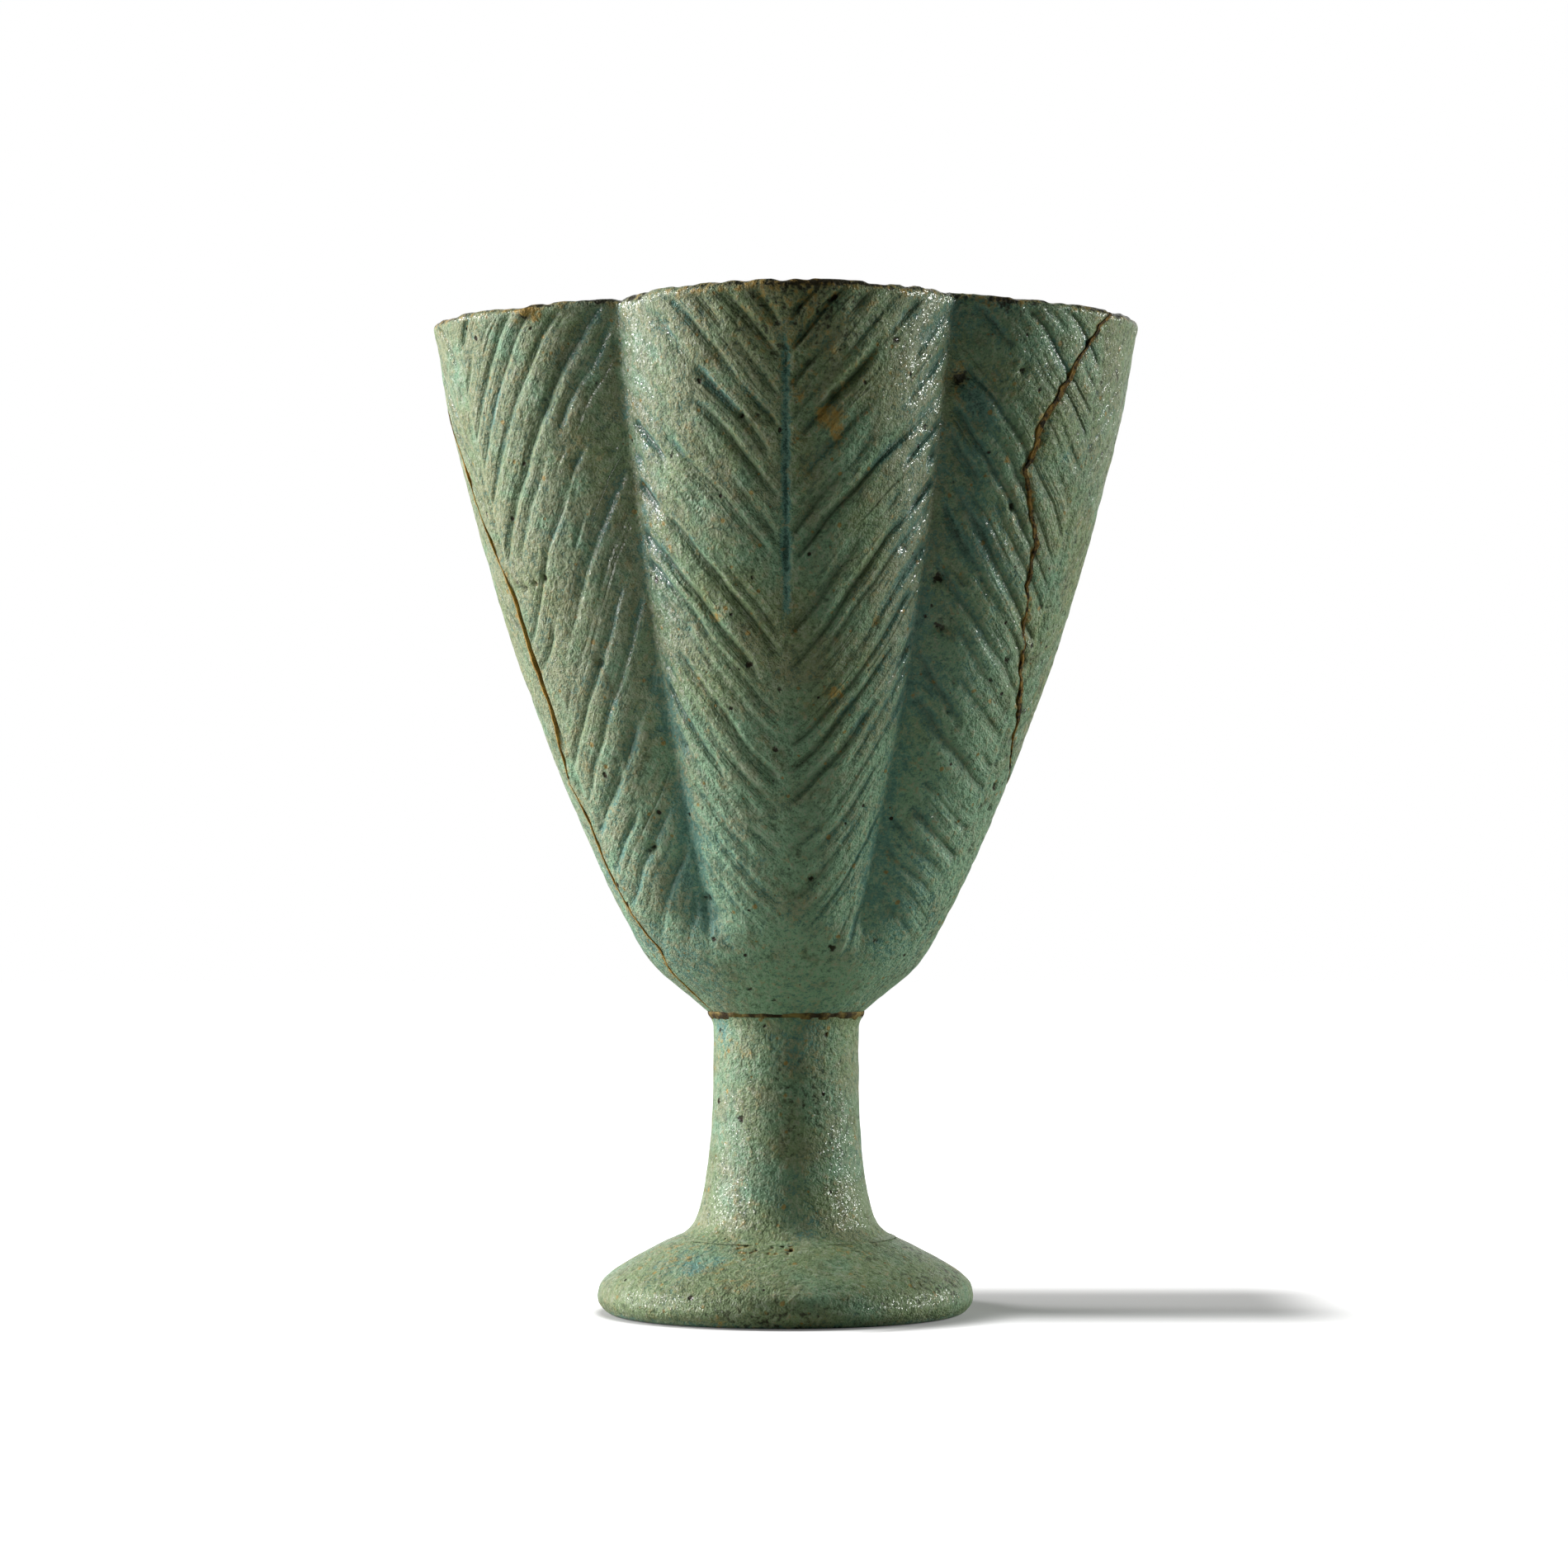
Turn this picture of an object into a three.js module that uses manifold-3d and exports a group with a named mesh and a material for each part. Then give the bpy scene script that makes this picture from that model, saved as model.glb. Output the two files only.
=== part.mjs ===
// An Egyptian faience lotus chalice. A six-petalled cup, broken in two and cemented together again,
// stands on a stem and a foot that were moulded separately and luted together.
// Millimetres, +Z up. The foot rests on z = 0, on the z axis, and one petal faces -Y.
import * as THREE from 'three';
import Module from 'manifold-3d';
import { mergeVertices } from 'three/addons/utils/BufferGeometryUtils.js';

const wasm = await Module();
wasm.setup();

// Foot: a domed disc with a flat underside, a rounded edge and a flat seat for the stem
const footRadius = 22.7;
const footHeight = 9.0;
const footEdgeHeight = 2.0;
const footEdgeRound = 2.1;

// Stem: a slightly waisted column that flares onto the foot, with a small collar under the cup
const stemLength = 26.1;
const stemRadius = 8.7;
const stemFlareRadius = 12.4;
const stemCollarRadius = 9.2;
const stemCollarHeight = 1.3;

// Tenons of the stem, which enter a socket in the foot and one in the cup's floor
const footTenonRadius = 6.0;
const footTenonLength = 3.5;
const cupTenonRadius = 4.0;
const cupTenonLength = 3.6;

// Joints: faience slurry under the stem, aged cement in the cup's seat and in its two breaks
const luteThickness = 0.4;
const seatCementThickness = 0.4;
const breakCementThickness = 0.4;
const jointClearance = 0.3;
const breakInnerRadius = 1.5;

// Cup: six petals round a bowl, open at the rim
const petalCount = 6;
const cupHeight = 82.5;
const cupRadius = 45.0;
const wallThickness = 3.0;
const floorThickness = 7.0;
const floorRound = 8.0;

// Each petal is an arc about a centre that stands off the axis by this share of the cup's radius there.
// Between these shares of the cup's height, the petals grow out of the round bowl.
const petalOffsetShare = 0.52;
const petalStartShare = 0.05;
const petalFullShare = 0.12;

// Outlines, as [share of the height, share of the way from the small radius to the large one]
const footDomeShares = [[0, 1], [0.2, 0.97], [0.38, 0.86], [0.55, 0.69], [0.72, 0.48], [0.89, 0.22], [1, 0]];
const stemFlareShares = [
  [0, 1], [0.03, 0.7], [0.06, 0.58], [0.13, 0.4], [0.28, 0.23], [0.45, 0.14], [0.68, 0], [1, 0],
];
const cupOutlineShares = [
  [0, 0], [0.012, 0.035], [0.036, 0.105], [0.06, 0.17], [0.087, 0.23], [0.16, 0.35], [0.31, 0.515],
  [0.46, 0.66], [0.61, 0.78], [0.75, 0.875], [0.85, 0.935], [1, 1],
];

// The two breaks, as [share of the cup's height, azimuth as a share of one petal's pitch].
// The azimuth is counted from the front petal's middle, to the right of it as seen from -Y.
const leftBreakShares = [
  [0, -1.13], [0.06, -1.05], [0.09, -0.96], [0.14, -1.01], [0.21, -1.05], [0.27, -1.03], [0.33, -1.07],
  [0.43, -0.99], [0.5, -1.01], [0.6, -1.01], [0.7, -1.08], [0.8, -1.13], [0.9, -1.27], [1, -1.45],
];
const rightBreakShares = [
  [0, 1.95], [0.1, 1.8], [0.2, 1.58], [0.27, 1.38], [0.33, 1.2], [0.366, 1.07], [0.4, 1.02], [0.48, 0.92],
  [0.58, 0.855], [0.66, 0.835], [0.7, 0.79], [0.76, 0.745], [0.845, 0.79], [0.92, 0.86], [1, 0.97],
];

// Facets
const petalSteps = 14;
const roundSteps = 48;
const outerRows = 17;
const innerRows = 11;
const rimRows = 6;
const domeSteps = 10;
const stemSteps = 14;
const edgeSteps = 4;
const domeCrowding = 1;
const baseCrowding = 1.5;

// How far a cut runs past what it cuts
const cutOverrun = 5.0;

// Heights of the stack, from the table up
const footSeatZ = footHeight;
const stemBaseZ = footSeatZ + luteThickness;
const stemTopZ = stemBaseZ + stemLength;
const cupSeatZ = stemTopZ + seatCementThickness;
const rimZ = cupSeatZ + cupHeight;
const floorTopZ = cupSeatZ + floorThickness;
const footSocketRadius = footTenonRadius + jointClearance;
const cupSocketRadius = cupTenonRadius + jointClearance;
const cupSocketTopZ = stemTopZ + cupTenonLength + jointClearance;
const footSocketFloorZ = stemBaseZ - footTenonLength - jointClearance;
const petalPitch = 2 * Math.PI / petalCount;

// A smooth curve through a table of [x, y] points that never overshoots them (monotone cubic).
function curveThrough(table) {
  const rise = table.slice(1).map(([x, y], i) => (y - table[i][1]) / (x - table[i][0]));
  const slope = table.map((_, i) => {
    const [before, after] = [rise[Math.max(i - 1, 0)], rise[Math.min(i, rise.length - 1)]];
    return before * after > 0 ? 2 * before * after / (before + after) : 0;
  });
  return (place) => {
    const x = THREE.MathUtils.clamp(place, 0, 1);
    const i = Math.max(1, table.findIndex(([knot]) => knot >= x)) - 1;
    const span = table[i + 1][0] - table[i][0];
    const u = (x - table[i][0]) / span;
    const ease = u * u * (3 - 2 * u);
    const bend = u * (1 - u) * span * (slope[i] * (1 - u) - slope[i + 1] * u);
    return table[i][1] * (1 - ease) + table[i + 1][1] * ease + bend;
  };
}

// A closed mesh as a manifold-3d solid, and back
function toSolid(geometry) {
  const bare = geometry.clone();
  bare.deleteAttribute('normal');
  bare.deleteAttribute('uv');
  const merged = mergeVertices(bare);
  const triVerts = new Uint32Array(merged.index.array);
  const vertProperties = new Float32Array(merged.attributes.position.array);
  return new wasm.Manifold(new wasm.Mesh({ numProp: 3, vertProperties, triVerts }));
}

function toGeometry(solid) {
  const mesh = solid.getMesh();
  return new THREE.BufferGeometry()
    .setAttribute('position', new THREE.BufferAttribute(new Float32Array(mesh.vertProperties), 3))
    .setIndex(new THREE.BufferAttribute(new Uint32Array(mesh.triVerts), 1));
}

function geometryFrom(points, triangles) {
  return new THREE.BufferGeometry()
    .setAttribute('position', new THREE.Float32BufferAttribute(points.flat(), 3))
    .setIndex(triangles.flat());
}

// A solid of revolution about z. The profile's [radius, height] points start and end on the axis,
// or close on themselves.
function turned(profile) {
  const outline = profile.map(([r, z]) => new THREE.Vector2(r, z));
  return new THREE.LatheGeometry(outline, roundSteps).rotateX(Math.PI / 2);
}

// A flat washer of joint filling round a tenon
function washer(innerRadius, outerRadius, bottomZ, topZ) {
  return turned([
    [innerRadius, bottomZ], [outerRadius, bottomZ], [outerRadius, topZ], [innerRadius, topZ],
    [innerRadius, bottomZ],
  ]);
}

// Points of a profile curve between two heights. Crowding above 1 puts more of them near the bottom.
function profileCurve(curve, steps, crowding, bottomZ, topZ, smallRadius, largeRadius) {
  return Array.from({ length: steps + 1 }, (_, i) => {
    const share = (i / steps) ** crowding;
    return [smallRadius + (largeRadius - smallRadius) * curve(share), bottomZ + (topZ - bottomZ) * share];
  });
}

function footGeometry() {
  const edge = Array.from({ length: edgeSteps }, (_, i) => {
    const turn = Math.PI / 2 * i / edgeSteps;
    return [
      footRadius - footEdgeRound * (1 - Math.sin(turn)),
      footEdgeHeight * (1 - Math.cos(turn)),
    ];
  });
  const dome = profileCurve(
    curveThrough(footDomeShares), domeSteps, domeCrowding,
    footEdgeHeight, footSeatZ, stemFlareRadius, footRadius,
  );
  return turned([
    [0, 0], ...edge, ...dome, [footSocketRadius, footSeatZ],
    [footSocketRadius, footSocketFloorZ], [0, footSocketFloorZ],
  ]);
}

function stemGeometry() {
  const flare = profileCurve(
    curveThrough(stemFlareShares), stemSteps, baseCrowding,
    stemBaseZ, stemTopZ - stemCollarHeight, stemRadius, stemFlareRadius,
  );
  const collar = Array.from({ length: edgeSteps }, (_, i) => {
    const share = (i + 1) / edgeSteps;
    return [
      stemRadius + (stemCollarRadius - stemRadius) * share * share,
      stemTopZ - stemCollarHeight * (1 - share),
    ];
  });
  return turned([
    [0, stemBaseZ - footTenonLength], [footTenonRadius, stemBaseZ - footTenonLength],
    [footTenonRadius, stemBaseZ], ...flare, ...collar, [cupTenonRadius, stemTopZ],
    [cupTenonRadius, stemTopZ + cupTenonLength], [0, stemTopZ + cupTenonLength],
  ]);
}

const cupOutline = curveThrough(cupOutlineShares);

// One ring of the cup's surface. Its petals are arcs about centres off the axis, and the inset moves
// the arcs towards those centres, so the wall keeps its thickness round each petal.
function cupRing(z, inset = 0, closing = 1) {
  const share = (z - cupSeatZ) / cupHeight;
  const peak = stemCollarRadius + (cupRadius - stemCollarRadius) * cupOutline(share);
  const grown = THREE.MathUtils.smoothstep(share, petalStartShare, petalFullShare);
  const centre = peak * petalOffsetShare * grown;
  const arc = peak - centre - inset;
  return (angle) => {
    const radius = centre * Math.cos(angle) + Math.sqrt(arc ** 2 - (centre * Math.sin(angle)) ** 2);
    return [radius * closing, z];
  };
}

function plainRing(radius, z) {
  return () => [radius, z];
}

// The whole cup before it broke: rings from the socket's roof out over the seat, up the outside,
// over the rounded rim and down the inside to the middle of the floor
function cupGeometry() {
  const rimRound = wallThickness / 2;
  const shoulderZ = rimZ - rimRound;
  const outside = Array.from({ length: outerRows + 1 }, (_, i) => (
    cupRing(cupSeatZ + (shoulderZ - cupSeatZ) * (i / outerRows) ** baseCrowding)
  ));
  const rim = Array.from({ length: rimRows - 1 }, (_, i) => {
    const turn = Math.PI * (i + 1) / rimRows;
    return cupRing(shoulderZ + rimRound * Math.sin(turn), rimRound * (1 - Math.cos(turn)));
  });
  const inside = Array.from({ length: innerRows }, (_, i) => {
    const z = floorTopZ + (shoulderZ - floorTopZ) * (1 - i / innerRows) ** baseCrowding;
    const depth = Math.max(0, 1 - (z - floorTopZ) / floorRound);
    return cupRing(z, wallThickness, Math.sqrt(1 - depth ** 2));
  });
  const rings = [
    plainRing(cupSocketRadius, cupSocketTopZ), plainRing(cupSocketRadius, cupSeatZ),
    ...outside, ...rim, ...inside,
  ];
  const columns = petalCount * petalSteps;
  const points = [[0, 0, cupSocketTopZ], [0, 0, floorTopZ]];
  const triangles = [];
  const at = (row, column) => 2 + row * columns + column % columns;
  rings.forEach((ring, row) => {
    for (let column = 0; column < columns; column += 1) {
      const turn = (column / petalSteps - 1 / 2) * petalPitch;
      const [radius, z] = ring((column % petalSteps / petalSteps - 1 / 2) * petalPitch);
      points.push([radius * Math.sin(turn), -radius * Math.cos(turn), z]);
      if (row > 0) {
        triangles.push([at(row - 1, column), at(row - 1, column + 1), at(row, column + 1)]);
        triangles.push([at(row - 1, column), at(row, column + 1), at(row, column)]);
      }
    }
  });
  for (let column = 0; column < columns; column += 1) {
    triangles.push([0, at(0, column + 1), at(0, column)]);
    triangles.push([1, at(rings.length - 1, column), at(rings.length - 1, column + 1)]);
  }
  return geometryFrom(points, triangles);
}

// A thin upright slab that follows a break through the cup's wall and floor, from the axis outwards.
// Both of its broad faces are split along matching diagonals, so they stay parallel where it twists.
function breakSlab(breakShares, thickness) {
  const [start, reach] = [-thickness / 2, cupRadius + cutOverrun];
  const levels = breakShares.map(([share, pitches]) => [cupSeatZ + cupHeight * share, petalPitch * pitches]);
  const [first, last] = [levels[0], levels[levels.length - 1]];
  const stations = [[first[0] - cutOverrun, first[1]], ...levels, [last[0] + cutOverrun, last[1]]];
  const points = stations.flatMap(([z, azimuth]) => (
    [[start, -1], [reach, -1], [reach, 1], [start, 1]].map(([radius, side]) => [
      radius * Math.sin(azimuth) + side * thickness / 2 * Math.cos(azimuth),
      -radius * Math.cos(azimuth) + side * thickness / 2 * Math.sin(azimuth),
      z,
    ])
  ));
  const triangles = [[0, 2, 1], [0, 3, 2]];
  for (let i = 1; i < stations.length; i += 1) {
    const [a, b, c, d, e, f, g, h] = Array.from({ length: 8 }, (_, corner) => (i - 1) * 4 + corner);
    triangles.push([a, b, f], [a, f, e], [b, c, g], [b, g, f]);
    triangles.push([c, d, g], [d, h, g], [d, a, e], [d, e, h]);
  }
  const top = (stations.length - 1) * 4;
  triangles.push([top, top + 1, top + 2], [top, top + 2, top + 3]);
  return toSolid(geometryFrom(points, triangles));
}

// The cup's two sherds, front one first, and the cement that fills each break
function brokenCup() {
  const cup = toSolid(cupGeometry());
  const breaks = [leftBreakShares, rightBreakShares];
  const gap = breakCementThickness + 2 * jointClearance;
  const core = toSolid(turned([
    [0, stemTopZ], [breakInnerRadius, stemTopZ], [breakInnerRadius, rimZ], [0, rimZ],
  ]));
  const sherds = breaks
    .reduce((rest, shares) => rest.subtract(breakSlab(shares, gap)), cup)
    .decompose()
    .sort((a, b) => a.boundingBox().min[1] - b.boundingBox().min[1]);
  const fillings = breaks.map((shares) => (
    cup.intersect(breakSlab(shares, breakCementThickness)).subtract(core)
  ));
  return [...sherds, ...fillings].map(toGeometry);
}

// Finishes
const glaze = new THREE.MeshStandardMaterial({ color: 0x8aa08a, roughness: 0.45, metalness: 0 });
const cement = new THREE.MeshStandardMaterial({ color: 0x8a5f2a, roughness: 0.7, metalness: 0 });
const slurry = new THREE.MeshStandardMaterial({ color: 0x7d927a, roughness: 0.7, metalness: 0 });

function piece(name, geometry, material) {
  const mesh = new THREE.Mesh(geometry, material);
  mesh.name = name;
  return mesh;
}

const [frontSherd, backSherd, leftFilling, rightFilling] = brokenCup();
const chalice = new THREE.Group();
chalice.add(
  piece('foot', footGeometry(), glaze),
  piece('foot_lute', washer(footSocketRadius, stemFlareRadius, footSeatZ, stemBaseZ), slurry),
  piece('stem', stemGeometry(), glaze),
  piece('cup_seat_cement', washer(cupSocketRadius, stemCollarRadius, stemTopZ, cupSeatZ), cement),
  piece('front_cup_sherd', frontSherd, glaze),
  piece('back_cup_sherd', backSherd, glaze),
  piece('left_break_cement', leftFilling, cement),
  piece('right_break_cement', rightFilling, cement),
);

export default chalice;
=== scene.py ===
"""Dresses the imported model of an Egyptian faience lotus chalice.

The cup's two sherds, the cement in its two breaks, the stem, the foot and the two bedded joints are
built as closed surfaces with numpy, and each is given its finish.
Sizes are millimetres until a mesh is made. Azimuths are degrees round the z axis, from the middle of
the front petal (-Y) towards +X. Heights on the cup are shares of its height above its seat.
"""

import logging
from dataclasses import dataclass
from enum import Enum, IntEnum
from types import SimpleNamespace

import bpy
import numpy as np
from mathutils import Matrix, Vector


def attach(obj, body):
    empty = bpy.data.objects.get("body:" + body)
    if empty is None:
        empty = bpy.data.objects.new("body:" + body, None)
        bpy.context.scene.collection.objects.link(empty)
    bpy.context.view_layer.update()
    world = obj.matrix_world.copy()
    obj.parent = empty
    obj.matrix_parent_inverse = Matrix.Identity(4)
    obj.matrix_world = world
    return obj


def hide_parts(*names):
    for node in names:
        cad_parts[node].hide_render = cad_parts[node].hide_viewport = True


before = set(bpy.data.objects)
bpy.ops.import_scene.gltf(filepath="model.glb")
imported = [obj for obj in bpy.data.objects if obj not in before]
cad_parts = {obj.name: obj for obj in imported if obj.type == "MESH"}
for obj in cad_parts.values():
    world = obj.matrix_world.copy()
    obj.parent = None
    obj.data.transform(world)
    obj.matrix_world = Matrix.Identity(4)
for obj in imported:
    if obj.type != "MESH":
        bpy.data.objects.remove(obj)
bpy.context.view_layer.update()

log = logging.getLogger("lotus_chalice")

MM = 0.001
PETAL_PITCH = 60.0
CUP_HEIGHT = 82.5
WHITE = (1.0, 1.0, 1.0, 1.0)
SMOOTH = {"interpolation_type": "SMOOTHSTEP"}
COLOURS = {"data_type": "RGBA"}

Table = tuple[tuple[float, float], ...]
Spots = tuple[tuple[float, float, float, float], ...]
Noise = tuple[float, float, float, float]
Range = tuple[float, float, float, float]
Patches = tuple[tuple[float, float, float, float, float], ...]
Faces = list[list[int]]
Marks = dict[str, np.ndarray]
Tree = bpy.types.NodeTree
Socket = bpy.types.NodeSocket


# Curves, noise and meshes


def curve_through(table: Table, place: np.ndarray) -> np.ndarray:
    """Follows a table of points with a smooth curve that never overshoots them.

    Each knot's slope is the harmonic mean of the slopes beside it, or 0 at a turn, and a cubic joins
    each pair of knots with those slopes.

    Args:
        table: Pairs of place and value, with places from 0 to 1.
        place: Where the curve is read.

    Returns:
        The values there.
    """
    knots, values = np.array(table, float).T
    span = np.diff(knots)
    rise = np.diff(values) / span
    before, after = np.r_[rise[:1], rise], np.r_[rise, rise[-1:]]
    same = before * after > 0
    slope = np.where(same, 2 * before * after / np.where(same, before + after, 1.0), 0.0)
    at = np.clip(place, 0, 1)
    i = np.clip(np.searchsorted(knots, at) - 1, 0, len(span) - 1)
    u = (at - knots[i]) / span[i]
    ease = u * u * (3 - 2 * u)
    bend = u * (1 - u) * span[i] * (slope[i] * (1 - u) - slope[i + 1] * u)
    return values[i] * (1 - ease) + values[i + 1] * ease + bend


def line_through(table: Table, place: np.ndarray) -> np.ndarray:
    """Reads a table of points along straight lines between them."""
    knots, values = np.array(table, float).T
    return np.interp(place, knots, values)


def smoothstep(value: np.ndarray, low: float, high: float) -> np.ndarray:
    """Goes from 0 at low to 1 at high, which may be the smaller, along 3u² - 2u³."""
    u = np.clip((value - low) / (high - low), 0, 1)
    return u * u * (3 - 2 * u)


def bell(value: np.ndarray, middle: float, reach: float) -> np.ndarray:
    """A soft hump: exp(-((value - middle) / reach)²)."""
    return np.exp(-((value - middle) / reach) ** 2)


def spot(points: np.ndarray, centre: np.ndarray, reach: float) -> np.ndarray:
    """A soft round spot: exp(-(distance / reach)²)."""
    return np.exp(-((points - centre) ** 2).sum(axis=-1) / reach ** 2)


def wrapped(angle: np.ndarray, period: float) -> np.ndarray:
    """The same angle within half a period of 0."""
    return (angle + period / 2) % period - period / 2


def run_along(across: np.ndarray, up: np.ndarray) -> np.ndarray:
    """Length of a flat line of points up to each of them."""
    return np.r_[0, np.cumsum(np.hypot(np.diff(across), np.diff(up)))]


def arc_reach(centre: np.ndarray, arc: np.ndarray, turn: np.ndarray) -> np.ndarray:
    """Where a ray at p radians meets an arc of radius a about c: c cos p + sqrt(a² - c² sin² p)."""
    return centre * np.cos(turn) + np.sqrt(np.maximum(arc ** 2 - (centre * np.sin(turn)) ** 2, 0.0))


def polar(radius: np.ndarray, azimuth: np.ndarray, height: np.ndarray) -> np.ndarray:
    """Points at a radius, an azimuth in degrees and a height: x = r sin a, y = -r cos a."""
    radius, turn, height = np.broadcast_arrays(radius, np.radians(azimuth), height)
    return np.stack([radius * np.sin(turn), -radius * np.cos(turn), height], axis=-1)


class Unevenness:
    """Smooth seeded unevenness of hand-worked clay, from -1 to 1."""

    def __init__(self, seed: int) -> None:
        """Draws the table of lattice values from the seed."""
        self.table = np.random.default_rng(seed).uniform(-1, 1, (32, 32, 32))

    def at(self, points: np.ndarray, grain: float) -> np.ndarray:
        """Reads the unevenness at points.

        The eight lattice values round point / grain are blended with smoothstep weights.

        Args:
            points: Places in mm, with x, y and z in the last axis.
            grain: Distance between lattice values in mm.

        Returns:
            One value for each point.
        """
        cell = points / grain + 100.0
        low = np.floor(cell).astype(int)
        share = cell - low
        share = share * share * (3 - 2 * share)
        total = np.zeros(points.shape[:-1])
        for corner in np.ndindex(2, 2, 2):
            weight = np.where(np.array(corner) == 1, share, 1 - share).prod(axis=-1)
            total += weight * self.table[tuple(np.moveaxis((low + corner) % 32, -1, 0))]
        return total

    def along(self, place: np.ndarray, grain: float) -> np.ndarray:
        """Reads the unevenness along one line, at distances in mm."""
        zero = np.zeros_like(place)
        return self.at(np.stack([place, zero + 3.7 * grain, zero + 8.3 * grain], axis=-1), grain)


def grid_normals(points: np.ndarray) -> np.ndarray:
    """Unit normals of a grid of points, rows by columns by 3: steps along columns cross steps along rows."""
    normals = np.cross(np.gradient(points, axis=1), np.gradient(points, axis=0))
    return normals / np.maximum(np.linalg.norm(normals, axis=-1, keepdims=True), 1e-12)


def grid_quads(rows: int, columns: int, round_columns: bool = False, round_rows: bool = False) -> np.ndarray:
    """Numbers the corners of a grid's quads, which face outwards when rows go up the outside.

    Args:
        rows: Number of rows.
        columns: Number of columns.
        round_columns: Whether the last column meets the first.
        round_rows: Whether the last row meets the first.

    Returns:
        Vertex numbers, quads by 4.
    """
    row, column = np.meshgrid(np.arange(rows if round_rows else rows - 1),
                              np.arange(columns if round_columns else columns - 1), indexing="ij")
    here, above, after = row * columns, (row + 1) % rows * columns, (column + 1) % columns
    return np.stack([here + column, here + after, above + after, above + column], axis=-1).reshape(-1, 4)


def put_piece(name: str, points: np.ndarray, faces: Faces, marks: Marks,
              sharp_angle: float = 50.0) -> bpy.types.Object:
    """Makes an object from points and faces, with smooth shading and marks that the finish reads.

    Args:
        name: The piece's name.
        points: Vertices in mm, n by 3.
        faces: Vertex numbers of each face.
        marks: Per vertex, a number or three numbers under each name.
        sharp_angle: Edges that turn more than this many degrees stay sharp.

    Returns:
        The new object, which lies at the origin.
    """
    mesh = bpy.data.meshes.new(name)
    mesh.from_pydata((points * MM).tolist(), [], faces)
    for mark, values in marks.items():
        kind, entry = ("FLOAT_VECTOR", "vector") if values.ndim == 2 else ("FLOAT", "value")
        layer = mesh.attributes.new(mark, kind, "POINT")
        layer.data.foreach_set(entry, values.astype(np.float32).ravel())
    mesh.polygons.foreach_set("use_smooth", np.ones(len(mesh.polygons), bool))
    mesh.set_sharp_from_angle(angle=np.radians(sharp_angle))
    mesh.validate()
    piece = bpy.data.objects.new(name, mesh)
    bpy.context.scene.collection.objects.link(piece)
    return piece


class Seed(IntEnum):
    """Names of material slots."""

    VEIN_WAVE = 61
    VEIN_TREMOR = 62
    VEIN_STROKES = 63
    CUP_CLAY = 71
    CUP_GRAIN = 72
    CUP_CHIPS = 73
    TURNED_CLAY = 81
    TURNED_GRAIN = 82
    FOOT_CLAY = 91
    FOOT_BUBBLES = 93


class Slot(Enum):
    """Material slots of the record."""

    GLAZE = "glazed_faience"
    SLURRY = "joining_slurry"
    CEMENT = "aged_cement"


def settle(piece: bpy.types.Object, node: str, finish: bpy.types.Material) -> None:
    """Gives a piece its finish, seats it on the body and lets it stand for its CAD node.

    Args:
        piece: The new piece.
        node: The CAD node that it replaces.
        finish: The Blender material.
    """
    piece.data.materials.append(finish)
    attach(piece, "root")
    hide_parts(node)
    log.info("%s: %d faces, stands for %s", piece.name, len(piece.data.polygons), node)


# Finishes


def linear(colour: str) -> tuple[float, float, float, float]:
    """Turns an sRGB hex colour to linear light with alpha 1."""
    channels = [int(colour[i:i + 2], 16) / 255 for i in (1, 3, 5)]
    return (*(c / 12.92 if c <= 0.04045 else ((c + 0.055) / 1.055) ** 2.4 for c in channels), 1.0)


def add_node(tree: Tree, kind: str, feeds: dict | tuple = (), out: int | str | slice = 0,
             **settings: object) -> Socket | list[Socket] | None:
    """Adds a node, with its settings, and fills its inputs with values or other nodes' outputs.

    Args:
        tree: The material's or world's node tree.
        kind: The node's type, without the leading "ShaderNode".
        feeds: Values or sockets by input name or number, or in the inputs' order.
        out: The output to hand back, or a slice of them.
        settings: The node's own properties.

    Returns:
        That output or those outputs.
    """
    node = tree.nodes.new("ShaderNode" + kind)
    for name, value in settings.items():
        setattr(node, name, value)
    for name, value in (feeds if isinstance(feeds, dict) else dict(enumerate(feeds))).items():
        if isinstance(value, Socket):
            tree.links.new(value, node.inputs[name])
        else:
            node.inputs[name].default_value = value
    return node.outputs[out] if len(node.outputs) else None


def new_finish(name: str) -> tuple[bpy.types.Material, Tree]:
    """Makes an empty node material.

    Args:
        name: The material's name.

    Returns:
        The material and its tree.
    """
    finish = bpy.data.materials.new(name)
    finish.use_nodes = True
    finish.node_tree.nodes.clear()
    return finish, finish.node_tree


def per_metre(size: float) -> float:
    """Scale of a Noise or Voronoi texture whose features are about this many mm across."""
    return 1.0 / (size * MM)


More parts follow.
